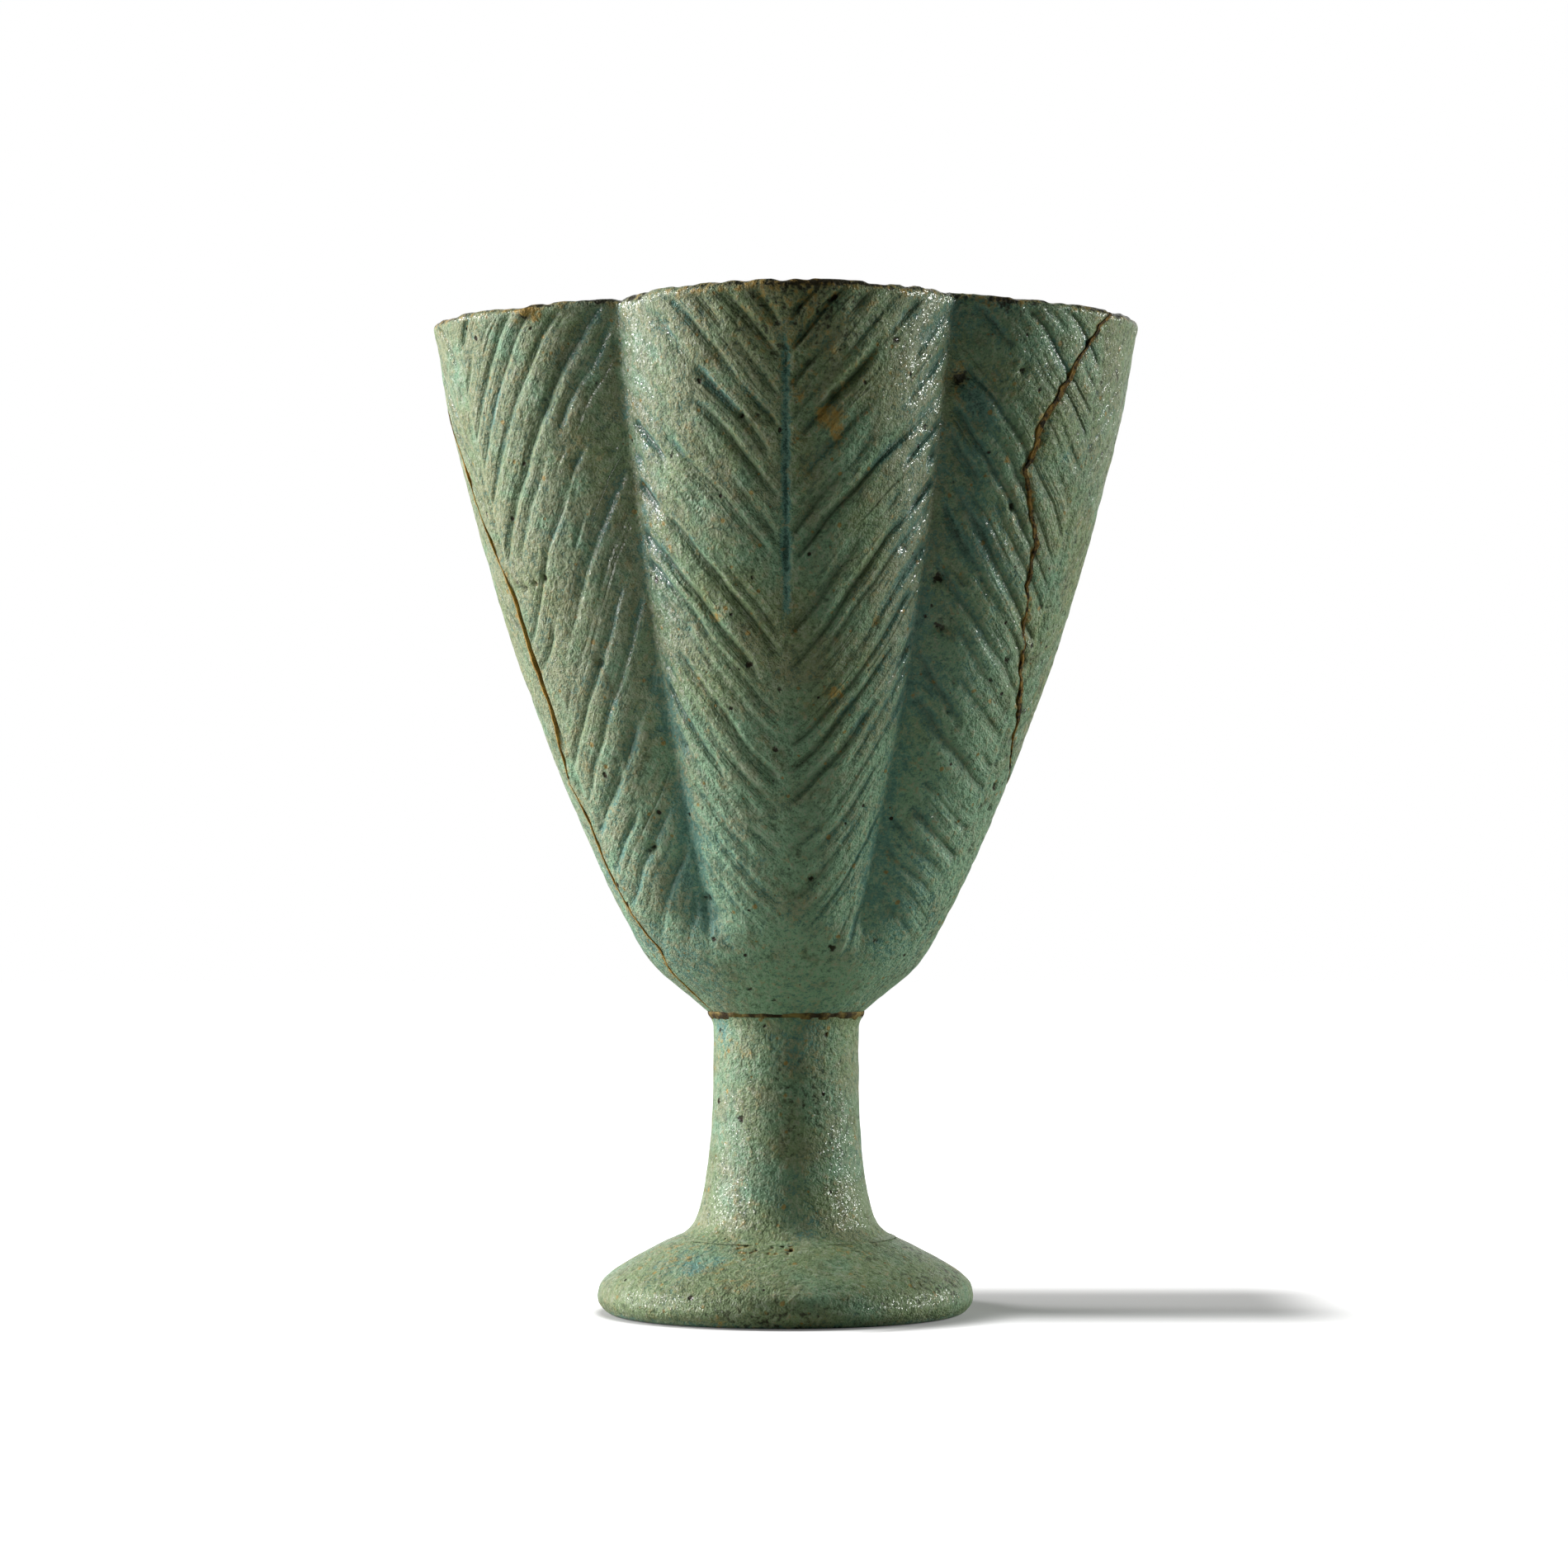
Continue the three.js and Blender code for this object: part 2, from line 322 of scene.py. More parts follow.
@dataclass(frozen=True)
class FaienceGlaze:
    """Egyptian faience: a crushed quartz body, moulded by hand, with a self-formed copper glaze.

    The glaze is thin and granular, so the eye gets a mottled, half-matt mint and sage surface with
    sharp glints from single grains, turquoise where the glaze pooled, and tan where it wore thin.
    Paler mint and tan are also painted as highlight and sheen on lit edges, and darker colour as shade
    in the grooves, on the shaded side and on the foot's low front edge.
    """

    name: str = "moulded_glazed_faience"
    mint: str = "#90BB98"
    light_mint: str = "#AEDAB6"
    sage: str = "#97AE7F"
    tan: str = "#A8A984"
    pale: str = "#C2CCB5"
    turquoise: str = "#70A69C"
    deep_teal: str = "#2F5F56"
    # groove: the dark green of the duller grains, and of the painted shade in the grooves
    groove: str = "#4A5B41"
    # soot: the colour of dirt and burst bubbles, and of the painted shade that the dark mark carries
    soot: str = "#30280F"
    ochre: str = "#C0A055"
    rust: str = "#6A4C26"
    bistre: str = "#746F48"
    # Noises: size of the features in mm, detail, roughness, distortion
    clouds: Noise = (8.0, 5.0, 0.6, 0.0)
    wear: Noise = (4.5, 6.0, 0.65, 0.6)
    grime: Noise = (3.0, 5.0, 0.65, 0.4)
    lumps: Noise = (1.4, 3.0, 0.55, 0.0)
    speckle: Noise = (0.8, 3.0, 0.6, 0.0)
    grit: Noise = (0.55, 2.0, 0.5, 0.0)
    grain: Noise = (0.2, 2.0, 0.5, 0.0)
    # Ranges of a noise or mark: from, to, and the share or shift that each gives
    cloud_range: Range = (0.36, 0.64, 0.0, 1.0)
    worn_range: Range = (0.44, 0.66, 0.0, 0.72)
    grimy_range: Range = (0.5, 0.72, 0.0, 0.6)
    bright_range: Range = (0.52, 0.74, 0.0, 0.6)
    dull_range: Range = (0.47, 0.28, 0.0, 0.55)
    pool_wear_range: Range = (0.3, 0.7, -0.2, 0.2)
    pool_mottle_range: Range = (0.3, 0.7, 0.25, -0.25)
    pool_light_range: Range = (0.15, 0.7, 0.0, 0.85)
    pool_deep_range: Range = (0.7, 1.2, 0.0, 0.9)
    ragged_range: Range = (0.75, 1.25, -0.5, 0.5)
    stain_range: Range = (0.2, 1.0, 0.0, 1.0)
    broken_range: Range = (0.35, 0.55, 0.45, 1.0)
    dirt_range: Range = (0.3, 0.95, 0.0, 0.95)
    # How far one mark or noise shifts another
    olive_in_clouds: float = -0.2
    fresh_in_olive: float = -0.6
    comb_in_mottle: float = 0.8
    grit_in_mottle: float = 0.6
    hatch_in_shade: float = 0.6
    shade_share: float = 0.65
    # Grooves, strands beside them, and dots, in mm
    groove_walls: tuple[float, float] = (0.75, 0.34)
    hatch_walls: tuple[float, float] = (0.42, 0.2)
    comb_length: float = 6.0
    strands_per_vein: float = 5.0
    fleck_spacing: float = 1.7
    fleck_radius: float = 0.2
    fleck_strength: float = 0.8
    pit_spacing: float = 3.6
    pit_radius: float = 0.27
    dot_sizes: Range = (0.2, 0.8, 2.0, 0.7)
    dot_edge: tuple[float, float] = (0.6, 1.3)
    dot_bite: float = 0.4
    # Relief in mm where a noise or mark is 1
    lump_relief: float = 0.13
    groove_relief: float = -0.34
    hatch_relief: float = -0.15
    grit_relief: float = 0.3
    grain_relief: tuple[float, float] = (0.12, 0.24)
    comb_relief: float = 0.3
    hole_relief: float = -0.3
    # Gloss: quartz facets of this many mm tilt and glint under the hazy glaze
    facet_size: float = 0.15
    facet_tilt: float = 0.52
    ior: float = 1.5
    roughness: float = 0.6
    pool_smoothness: float = 0.6
    worn_roughness: float = 0.18
    haze: float = 0.25
    grain_gloss: tuple[float, float] = (0.1, 1.0)
    grain_gloss_roughness: float = 0.14

    def read(self, tree: Tree) -> SimpleNamespace:
        """Reads the place, the marks and the noises that break up the glaze.

        Args:
            tree: The material's node tree.

        Returns:
            Sockets by name.
        """
        s = SimpleNamespace(place=add_node(tree, "TexCoord", (), "Object"))
        s.hatch = add_node(tree, "Attribute", (), "Fac", attribute_name="hatch")
        for mark, names in (("vein", ("phase", "pitch", "incised")), ("patina", ("pooled", "stained", "dark")),
                            ("crust", ("frit", "olive", "rubbed"))):
            whole = add_node(tree, "Attribute", (), "Vector", attribute_name=mark)
            vars(s).update(zip(names, add_node(tree, "SeparateXYZ", (whole,), slice(0, 3))))
        for name in ("clouds", "wear", "grime", "lumps", "speckle", "grit", "grain"):
            size, detail, roughness, distortion = getattr(self, name)
            setattr(s, name, add_node(tree, "TexNoise", {
                "Vector": s.place, "Scale": per_metre(size), "Detail": detail, "Roughness": roughness,
                "Distortion": distortion}))
        return s

    def cut_groove(self, tree: Tree, number: Socket, pitch: Socket, depth: Socket,
                   walls: tuple[float, float]) -> Socket:
        """Cuts a V-shaped groove along every line where a running number is whole.

        The number's distance from the nearest whole, times the pitch, is the distance aside in mm.
        Over the width of the wall on its side, and taken from 1, it is the depth.

        Args:
            tree: The material's node tree.
            number: The running number.
            pitch: Millimetres between grooves, less than 0 where the walls change sides.
            depth: How deeply the stroke is cut here, from 0 to 1.
            walls: Widths of the two walls in mm.

        Returns:
            The depth, as a share.
        """
        aside = number
        for operation, operand in (("ADD", 0.5), ("FRACT", 0.0), ("SUBTRACT", 0.5), ("MULTIPLY", pitch)):
            aside = add_node(tree, "Math", (aside, operand), operation=operation)
        left, right = (add_node(tree, "Math", (aside, slant), operation="MULTIPLY")
                       for slant in (-1 / walls[0], 1 / walls[1]))
        climb = add_node(tree, "Math", (left, right), operation="MAXIMUM")
        trough = add_node(tree, "Math", (1.0, climb), operation="SUBTRACT", use_clamp=True)
        return add_node(tree, "Math", (trough, depth), operation="MULTIPLY")

    def carve(self, tree: Tree, s: SimpleNamespace) -> None:
        """Adds the grooves, the fine strokes between them and the strands beside them to the sockets.

        The strands are noise that is fine across the running number and long in height.

        Args:
            tree: The material's node tree.
            s: Sockets by name.
        """
        s.trough = self.cut_groove(tree, s.phase, s.pitch, s.incised, self.groove_walls)
        between = add_node(tree, "Math", (s.phase, 0.5), operation="ADD")
        s.scratch = self.cut_groove(tree, between, s.pitch, s.hatch, self.hatch_walls)
        across = add_node(tree, "Math", (s.phase, self.strands_per_vein), operation="MULTIPLY")
        height = add_node(tree, "SeparateXYZ", (s.place,), 2)
        up = add_node(tree, "Math", (height, per_metre(self.comb_length)), operation="MULTIPLY")
        strand_place = add_node(tree, "CombineXYZ", (across, up))
        comb = add_node(tree, "TexNoise", {
            "Vector": strand_place, "Scale": 1.0, "Detail": 4.0, "Roughness": 0.6})
        comb = add_node(tree, "Math", (comb, 0.5), operation="SUBTRACT")
        combed = add_node(tree, "Math", (s.incised, 2.0), operation="MULTIPLY", use_clamp=True)
        s.comb = add_node(tree, "Math", (comb, combed), operation="MULTIPLY")

    def dots(self, tree: Tree, s: SimpleNamespace, spacing: float, radius: float) -> tuple[Socket, Socket]:
        """Strews dots of different sizes, whose outlines the grit makes ragged.

        Args:
            tree: The material's node tree.
            s: Sockets by name.
            spacing: Millimetres between dots.
            radius: Radius of a middling dot in mm.

        Returns:
            1 in a dot and 0 outside, and a random colour of each dot.
        """
        reach = radius / spacing
        low, high = np.array(self.dot_edge) * reach
        bitten = self.dot_bite * reach
        distance, draw = add_node(tree, "TexVoronoi", {"Vector": s.place, "Scale": per_metre(spacing)},
                                  slice(0, 2))
        size = add_node(tree, "MapRange", (draw, *self.dot_sizes))
        bite = add_node(tree, "MapRange", (s.grit, 0.3, 0.7, -bitten, bitten))
        near = add_node(tree, "Math", (distance, size, bite), operation="MULTIPLY_ADD")
        return add_node(tree, "MapRange", (near, low, high, 1.0, 0.0), **SMOOTH), draw

    def paint(self, tree: Tree, s: SimpleNamespace) -> Socket:
        """Lays the colours over each other, and adds what the relief and gloss need to the sockets.

        Args:
            tree: The material's node tree.
            s: Sockets by name.

        Returns:
            The glaze's colour.
        """
        # Mint and sage clouds, worn tan on the ridges, paler grains between darker ones; light mint and tan
        # are also painted as highlight and sheen on lit edges
        clouds = add_node(tree, "Math", (s.olive, self.olive_in_clouds, s.clouds), operation="MULTIPLY_ADD")
        cloudy = add_node(tree, "MapRange", (clouds, *self.cloud_range), **SMOOTH)
        fresh_and_highlight = add_node(tree, "Math", (s.olive, self.fresh_in_olive), operation="MULTIPLY", use_clamp=True)
        wear = add_node(tree, "Math", (s.wear, s.rubbed), operation="ADD")
        worn = add_node(tree, "MapRange", (wear, *self.worn_range), **SMOOTH)
        ridge = add_node(tree, "Math", (1.0, s.trough), operation="SUBTRACT")
        s.worn = add_node(tree, "Math", (worn, ridge), operation="MULTIPLY")
        grimy = add_node(tree, "MapRange", (s.grime, *self.grimy_range), **SMOOTH)
        mottle = add_node(tree, "Math", (s.comb, self.comb_in_mottle, s.speckle), operation="MULTIPLY_ADD")
        fine_grit = add_node(tree, "Math", (s.grit, s.grain), operation="ADD")
        fine_grit = add_node(tree, "Math", (fine_grit, 1.0), operation="SUBTRACT")
        mottle = add_node(tree, "Math", (fine_grit, self.grit_in_mottle, mottle), operation="MULTIPLY_ADD")
        bright = add_node(tree, "MapRange", (mottle, *self.bright_range))
        dull = add_node(tree, "MapRange", (mottle, *self.dull_range))

        # Pooled glaze, broken up by wear and mottle, which on the shaded right side is partly painted shade,
        # and painted shade in the grooves
        s.pool = s.pooled
        for source, reach in ((wear, self.pool_wear_range), (mottle, self.pool_mottle_range)):
            edge = add_node(tree, "MapRange", (source, *reach))
            s.pool = add_node(tree, "Math", (s.pool, edge), operation="ADD")
        pool_light = add_node(tree, "MapRange", (s.pool, *self.pool_light_range), **SMOOTH)
        pool_deep = add_node(tree, "MapRange", (s.pool, *self.pool_deep_range), **SMOOTH)
        # Painted shade: the grooves and fine strokes are darkened towards the groove colour
        cuts = add_node(tree, "Math", (s.scratch, self.hatch_in_shade, s.trough), operation="MULTIPLY_ADD")
        shade = add_node(tree, "Math", (cuts, self.shade_share), operation="MULTIPLY", use_clamp=True)

        # Stains and dirt with ragged edges, flecks and burst bubbles; the dark mark behind the dirt also
        # carries painted shade on the foot's low front edge
        ragged = add_node(tree, "Math", (s.lumps, s.grit), operation="ADD")
        ragged = add_node(tree, "MapRange", (ragged, *self.ragged_range))
        stain = add_node(tree, "Math", (s.stained, ragged), operation="ADD")
        stain = add_node(tree, "MapRange", (stain, *self.stain_range), **SMOOTH)
        broken = add_node(tree, "MapRange", (s.speckle, *self.broken_range))
        stain = add_node(tree, "Math", (stain, broken), operation="MULTIPLY")
        dirt = add_node(tree, "Math", (s.dark, ragged), operation="SUBTRACT")
        dirt = add_node(tree, "MapRange", (dirt, *self.dirt_range), **SMOOTH)
        fleck, draw = self.dots(tree, s, self.fleck_spacing, self.fleck_radius)
        fleck = add_node(tree, "Math", (fleck, self.fleck_strength), operation="MULTIPLY")
        fleck_colour = add_node(tree, "Mix", {0: draw, 6: linear(self.rust), 7: linear(self.ochre)}, 2,
                                **COLOURS)
        s.hole, _ = self.dots(tree, s, self.pit_spacing, self.pit_radius)

        colour = linear(self.sage)
        for share, tone in (
                (cloudy, self.mint), (fresh_and_highlight, self.light_mint), (s.worn, self.tan), (grimy, self.bistre),
                (bright, self.pale), (dull, self.groove), (pool_light, self.turquoise),
                (pool_deep, self.deep_teal), (shade, self.groove), (stain, self.ochre), (dirt, self.soot),
                (fleck, fleck_colour), (s.hole, self.soot)):
            tone = linear(tone) if isinstance(tone, str) else tone
            colour = add_node(tree, "Mix", {0: share, 6: colour, 7: tone}, 2, **COLOURS)
        return colour

    def make(self) -> bpy.types.Material:
        """Builds the material.

        Returns:
            A material that reads Object coordinates and the marks "vein", "hatch", "patina" and "crust".
        """
        finish, tree = new_finish(self.name)
        s = self.read(tree)
        self.carve(tree, s)
        colour = self.paint(tree, s)

        # Broad relief of lumps and grooves, then the grains, strands and burst bubbles on it
        relief = add_node(tree, "Math", (s.lumps, self.lump_relief), operation="MULTIPLY")
        for form, height in ((s.trough, self.groove_relief), (s.scratch, self.hatch_relief)):
            relief = add_node(tree, "Math", (form, height, relief), operation="MULTIPLY_ADD")
        broad = add_node(tree, "Bump", {"Height": relief, "Strength": 1.0, "Distance": MM})
        grain_height = add_node(tree, "MapRange", (s.frit, 0.0, 1.0, *self.grain_relief))
        for form, height in ((s.grit, self.grit_relief), (s.grain, grain_height), (s.comb, self.comb_relief),
                             (s.hole, self.hole_relief)):
            relief = add_node(tree, "Math", (form, height, relief), operation="MULTIPLY_ADD")
        bump = add_node(tree, "Bump", {"Height": relief, "Strength": 1.0, "Distance": MM})

        # Half-matt glaze, smoother in the pools, with facets that each tilt their own way
        pool_gloss = self.pool_smoothness * self.roughness
        gloss = add_node(tree, "MapRange", (s.pool, 0.2, 1.0, self.roughness, pool_gloss))
        gloss = add_node(tree, "Math", (s.worn, self.worn_roughness, gloss), operation="MULTIPLY_ADD")
        sparkle = add_node(tree, "MapRange", (s.frit, 0.0, 1.0, *self.grain_gloss))
        tilt = add_node(tree, "TexVoronoi", {"Vector": s.place, "Scale": per_metre(self.facet_size)}, "Color")
        tilt = add_node(tree, "VectorMath", (tilt, (0.5, 0.5, 0.5)), operation="SUBTRACT")
        tilt = add_node(tree, "VectorMath", {0: tilt, "Scale": self.facet_tilt}, operation="SCALE")
        tilted = add_node(tree, "VectorMath", (broad, tilt), operation="ADD")
        tilted = add_node(tree, "VectorMath", (tilted,), operation="NORMALIZE")
        shader = add_node(tree, "BsdfPrincipled", {
            "Base Color": colour, "Roughness": gloss, "IOR": self.ior, "Specular IOR Level": self.haze,
            "Normal": bump, "Coat Weight": sparkle, "Coat Roughness": self.grain_gloss_roughness,
            "Coat Normal": tilted})
        add_node(tree, "OutputMaterial", {"Surface": shader})
        return finish


@dataclass(frozen=True)
class EarthFilling:
    """A filling that was trowelled into a joint: aged cement, matt and crumbly.

    The eye gets a brown to olive line without gloss, darker where dirt has lodged.
    """

    name: str
    body: str
    dirt: str
    mottle_size: float = 1.6
    crumb_size: float = 0.3
    dirt_range: tuple[float, float] = (0.38, 0.6)
    relief: float = 0.12
    ior: float = 1.45
    roughness: float = 0.85

    def make(self) -> bpy.types.Material:
        """Builds the material.

        Returns:
            A material that reads Object coordinates.
        """
        finish, tree = new_finish(self.name)
        place = add_node(tree, "TexCoord", (), "Object")
        mottle, crumbs = (
            add_node(tree, "TexNoise", {"Vector": place, "Scale": per_metre(size), "Detail": detail,
                                        "Roughness": roughness})
            for size, detail, roughness in ((self.mottle_size, 5.0, 0.65), (self.crumb_size, 3.0, 0.6)))
        dirty = add_node(tree, "MapRange", (mottle, *self.dirt_range), **SMOOTH)
        colour = add_node(tree, "Mix", {0: dirty, 6: linear(self.body), 7: linear(self.dirt)}, 2, **COLOURS)
        relief = add_node(tree, "Math", (mottle, crumbs), operation="ADD")
        relief = add_node(tree, "Math", (relief, self.relief), operation="MULTIPLY")
        bump = add_node(tree, "Bump", {"Height": relief, "Strength": 1.0, "Distance": MM})
        shader = add_node(tree, "BsdfPrincipled", {
            "Base Color": colour, "Roughness": self.roughness, "IOR": self.ior, "Normal": bump})
        add_node(tree, "OutputMaterial", {"Surface": shader})
        return finish


# The cup


@dataclass(frozen=True)
class BreakLine:
    """One of the two breaks through the cup, and the cement that fills it.

    The course gives azimuths in petal pitches, the gap half widths in mm, both by share of the height.
    """

    course: Table
    gap: Table
    recess: float
    grime: float
    seed: int
    wander: float = 0.35

    def rag(self, draw: int, share: np.ndarray, scales: Table) -> np.ndarray:
        """Unevenness along the break, summed over pairs of amount and grain in mm."""
        noise = Unevenness(self.seed + draw)
        return sum(amount * noise.along(np.asarray(share) * CUP_HEIGHT, grain) for amount, grain in scales)

    def azimuth(self, share: np.ndarray, radius: np.ndarray) -> np.ndarray:
        """The break's azimuth, with a ragged wander of its own.

        The course is read along straight lines, and unevenness moves it sideways along the surface.

        Args:
            share: Share of the cup's height.
            radius: Distance from the axis in mm, which turns mm into degrees.

        Returns:
            Degrees.
        """
        aside = self.wander * self.rag(0, share, ((1.0, 4.5), (0.6, 1.6), (0.5, 0.7)))
        aside = aside * smoothstep(radius, 2.0, 10.0)
        return PETAL_PITCH * line_through(self.course, share) + np.degrees(aside / np.maximum(radius, 4.0))

    def half_gap(self, share: np.ndarray) -> np.ndarray:
        """Half the gap's width in mm, uneven along the break."""
        return line_through(self.gap, share) * (1 + self.rag(1, share, ((0.4, 2.2), (0.3, 0.8))))

    def lean(self, share: np.ndarray, radius: np.ndarray, trim: float = 0.0) -> np.ndarray:
        """Degrees between the break's middle and its edge at a radius, less a trim in mm."""
        return np.degrees(np.arcsin(np.clip((self.half_gap(share) - trim) / radius, 0, 0.9)))


@dataclass(frozen=True)
class PetalVeins:
    """How the veins of one petal run. They fall from its edges to its midrib.

    first: Depth in mm below the rim at which the first vein meets the midrib.
    top_pitch, low_pitch: Spacing of the veins there, at the rim and at the petal's foot, in mm.
    slope: Fall of a vein in mm for each mm along the surface at the midrib, at the rim and low down.
    curve: Share by which that grows towards the petal's edge, at the rim and low down.
    hook: How much more a vein falls near the right edge, low on the petal.
    rounding: Length in mm over which low veins turn round at the midrib.
    left_band, right_band: Width in mm of the plain band along each edge.
    depth: Depth of the grooves in mm.
    corner: How much wider the plain band is at the top left, in mm.
    hatch_loss: Share of the fine strokes that is gone low on the left half.
    low_loss, right_loss: Share of the grooves' depth that is gone low on the petal, and on its right.
    midrib: Depths in mm below the rim between which the midrib is cut.
    offset: Millimetres from the petal's middle to its midrib.
    teal: How much dark glaze has pooled in the midrib.
    wild: How irregular the strokes are, from 0.
    seed: Seed of the petal's own unevenness.
    """

    first: float = 7.0
    top_pitch: float = 4.6
    low_pitch: float = 3.4
    slope: tuple[float, float] = (1.2, 1.05)
    curve: tuple[float, float] = (0.0, 0.0)
    hook: float = 0.0
    rounding: float = 2.0
    left_band: float = 1.5
    right_band: float = 1.5
    depth: float = 0.34
    corner: float = 0.0
    hatch_loss: float = 0.0
    low_loss: float = 0.0
    right_loss: float = 0.0
    midrib: tuple[float, float] = (5.0, 60.0)
    offset: float = 0.0
    teal: float = 0.2
    wild: float = 0.3
    seed: int = 1


@dataclass(frozen=True)
class Zone:
    """A soft part of the cup where the glaze looks different, or where a highlight or sheen is painted paler.

    It lies within a reach in degrees of an azimuth. It starts at one depth in mm below the rim and is
    full at another. The other sizes are what it adds to the glaze's marks there.
    """

    azimuth: float
    reach: float
    starts: float = -2.0
    full: float = -1.0
    inside: bool = True
    dark: float = 0.0
    pooled: float = 0.0
    frit: float = 0.0
    olive: float = 0.0
    rubbed: float = 0.0


@dataclass
class Rows:
    """The cup's rings, from the socket's roof out and up to the rim, and down the inside to the floor.

    z: Height of each ring. share: That as a share of the cup's height. plain: Its radius, or 0 where
    the petals give it. inset: How far it lies inside the outer surface. closing: The share of its radius
    that is left towards the floor. outside: 1 on the outer wall, 0 on the inside. relief: Where
    hand-worked relief may move it. crest: The number of the rim's top ring.
    """

    z: np.ndarray
    share: np.ndarray
    plain: np.ndarray
    inset: np.ndarray
    closing: np.ndarray
    outside: np.ndarray
    relief: np.ndarray
    crest: int


@dataclass
class LotusCup:
    """The six-petalled cup in its two sherds, with the cement that joins them again."""

    glaze: bpy.types.Material
    cement: tuple[bpy.types.Material, bpy.types.Material]
    seat_z: float = 35.9
    height: float = CUP_HEIGHT
    rim_radius: float = 45.0
    seat_radius: float = 9.2
    wall: float = 3.0
    floor: float = 7.0
    floor_round: float = 8.0
    socket_radius: float = 4.3
    socket_roof_z: float = 39.4
    core_radius: float = 0.3
    offset_share: float = 0.52
    petal_start: float = 0.05
    petal_full: float = 0.15
    crease_round: float = 0.35
    carving: float = 0.32
    groove_walls: tuple[float, float] = (0.7, 0.36)
    midrib_depth: float = 0.3
    skin: float = 0.13
    pit_depth: float = 0.55
    # Amounts and grains of the clay's unevenness in mm, and the shares of the height where the rim's
    # look starts and is full
    clay_relief: Table = ((0.10, 9.0), (0.06, 1.7), (0.05, 0.9))
    rim_band: tuple[float, float] = (0.975, 0.995)
    # Half a petal's width at the rim, and the fall over which the veins' pitch changes, in mm
    half_at_rim: float = 23.0
    pitch_run: float = 95.0
    # Depths below the rim in mm between which veins change, start and end, and glaze pools
    low_petal: tuple[float, float] = (15.0, 55.0)
    vein_top: tuple[float, float] = (0.8, 2.4)
    vein_foot: tuple[float, float] = (69.0, 77.0)
    crease_pools: tuple[float, float] = (25.0, 50.0)
    plain_foot: tuple[float, float] = (40.0, 70.0)
    foot_pools: tuple[float, float] = (50.0, 72.0)
    # How far a stroke is shifted and turned by its own draw, in pitches
    stroke_shift: float = 0.17
    stroke_turn: float = 0.26
    rim_wear: Table = ((-180, 0.3), (-90, 0.6), (-76, 0.8), (-62, 1.2), (-50, 1.3), (-34, 0.8), (-20, 0.4),
                       (0, 0.1), (15, 0.0), (32, 0.0), (42, 0.6), (60, 0.75), (75, 0.5), (90, 0.3), (180, 0.3))
    outline: Table = ((0, 0), (0.012, 0.035), (0.036, 0.105), (0.06, 0.17), (0.087, 0.23), (0.16, 0.35),
                      (0.31, 0.515), (0.46, 0.66), (0.61, 0.78), (0.75, 0.875), (0.85, 0.935), (1, 1))
    left_break: BreakLine = BreakLine(
        course=((0, -1.13), (0.06, -1.05), (0.09, -0.96), (0.14, -1.01), (0.21, -1.05), (0.27, -1.03),
                (0.33, -1.07), (0.43, -0.99), (0.5, -1.01), (0.6, -1.01), (0.7, -1.08), (0.8, -1.13),
                (0.9, -1.27), (1, -1.45)),
        gap=((0, 0.1), (0.1, 0.15), (0.2, 0.08), (0.45, 0.09), (0.5, 0.13), (0.6, 0.09), (1, 0.08)),
        recess=0.0, grime=0.0, seed=31)
    right_break: BreakLine = BreakLine(
        course=((0, 1.95), (0.1, 1.8), (0.2, 1.58), (0.27, 1.38), (0.33, 1.2), (0.366, 1.07), (0.4, 1.02),
                (0.48, 0.92), (0.58, 0.855), (0.66, 0.835), (0.7, 0.79), (0.76, 0.745), (0.845, 0.79),
                (0.92, 0.86), (1, 0.97)),
        gap=((0, 0.1), (0.34, 0.1), (0.41, 0.12), (0.44, 0.36), (0.48, 0.16), (0.62, 0.18), (0.66, 0.3),
             (0.72, 0.2), (0.76, 0.3), (0.83, 0.4), (0.88, 0.4), (0.92, 0.26), (1, 0.2)),
        recess=0.14, grime=0.3, seed=41, wander=0.5)
    petals: tuple[PetalVeins, ...] = (
        PetalVeins(first=5.2, top_pitch=4.0, low_pitch=2.3, slope=(1.3, 1.2), curve=(-0.25, -0.1), hook=0.18,
                   rounding=1.4, left_band=0.8, right_band=0.8, depth=0.39, midrib=(4.0, 38.0), teal=1.5,
                   corner=9.0, hatch_loss=0.6, low_loss=0.35, wild=0.1, seed=51),
        PetalVeins(first=8.0, top_pitch=3.2, low_pitch=2.4, slope=(1.0, 0.8), left_band=1.0, depth=0.28,
                   right_loss=0.55, offset=-2.0, wild=0.2, seed=52),
        PetalVeins(first=6.5, seed=53),
        PetalVeins(first=8.5, top_pitch=4.8, low_pitch=2.8, seed=54),
        PetalVeins(first=5.5, seed=55),
        PetalVeins(first=5.9, top_pitch=4.5, low_pitch=4.9, slope=(1.28, 1.2), right_band=0.8, depth=0.28,
                   teal=0.1, wild=0.35, seed=56),
    )
    # Dull far right; glinting edge of the front petal, also painted paler as a highlight; green low right;
    # brown top of the front petal; left side painted paler as sheen where the key lamps light it; pale top
    # left of the front petal
    zones: tuple[Zone, ...] = (
        Zone(66, 12, inside=False, dark=0.2, olive=0.5),
        # Painted highlight: besides glinting, the front petal's right edge is made paler, in fresher mint and
        # tan
        Zone(24, 5, 49.5, 33.0, inside=False, frit=0.8, olive=-0.4, rubbed=0.24),
        Zone(45, 16, 28.0, 45.0, pooled=0.1, olive=-0.5, rubbed=-0.08),
        Zone(3, 13, 15.0, 4.0, olive=0.9, rubbed=0.05),
        # Painted sheen: the left side, which the key lamps light, is made paler and tanner
        Zone(-58, 24, rubbed=0.11),
        Zone(-18, 11, 24.0, 8.0, rubbed=0.12),
    )
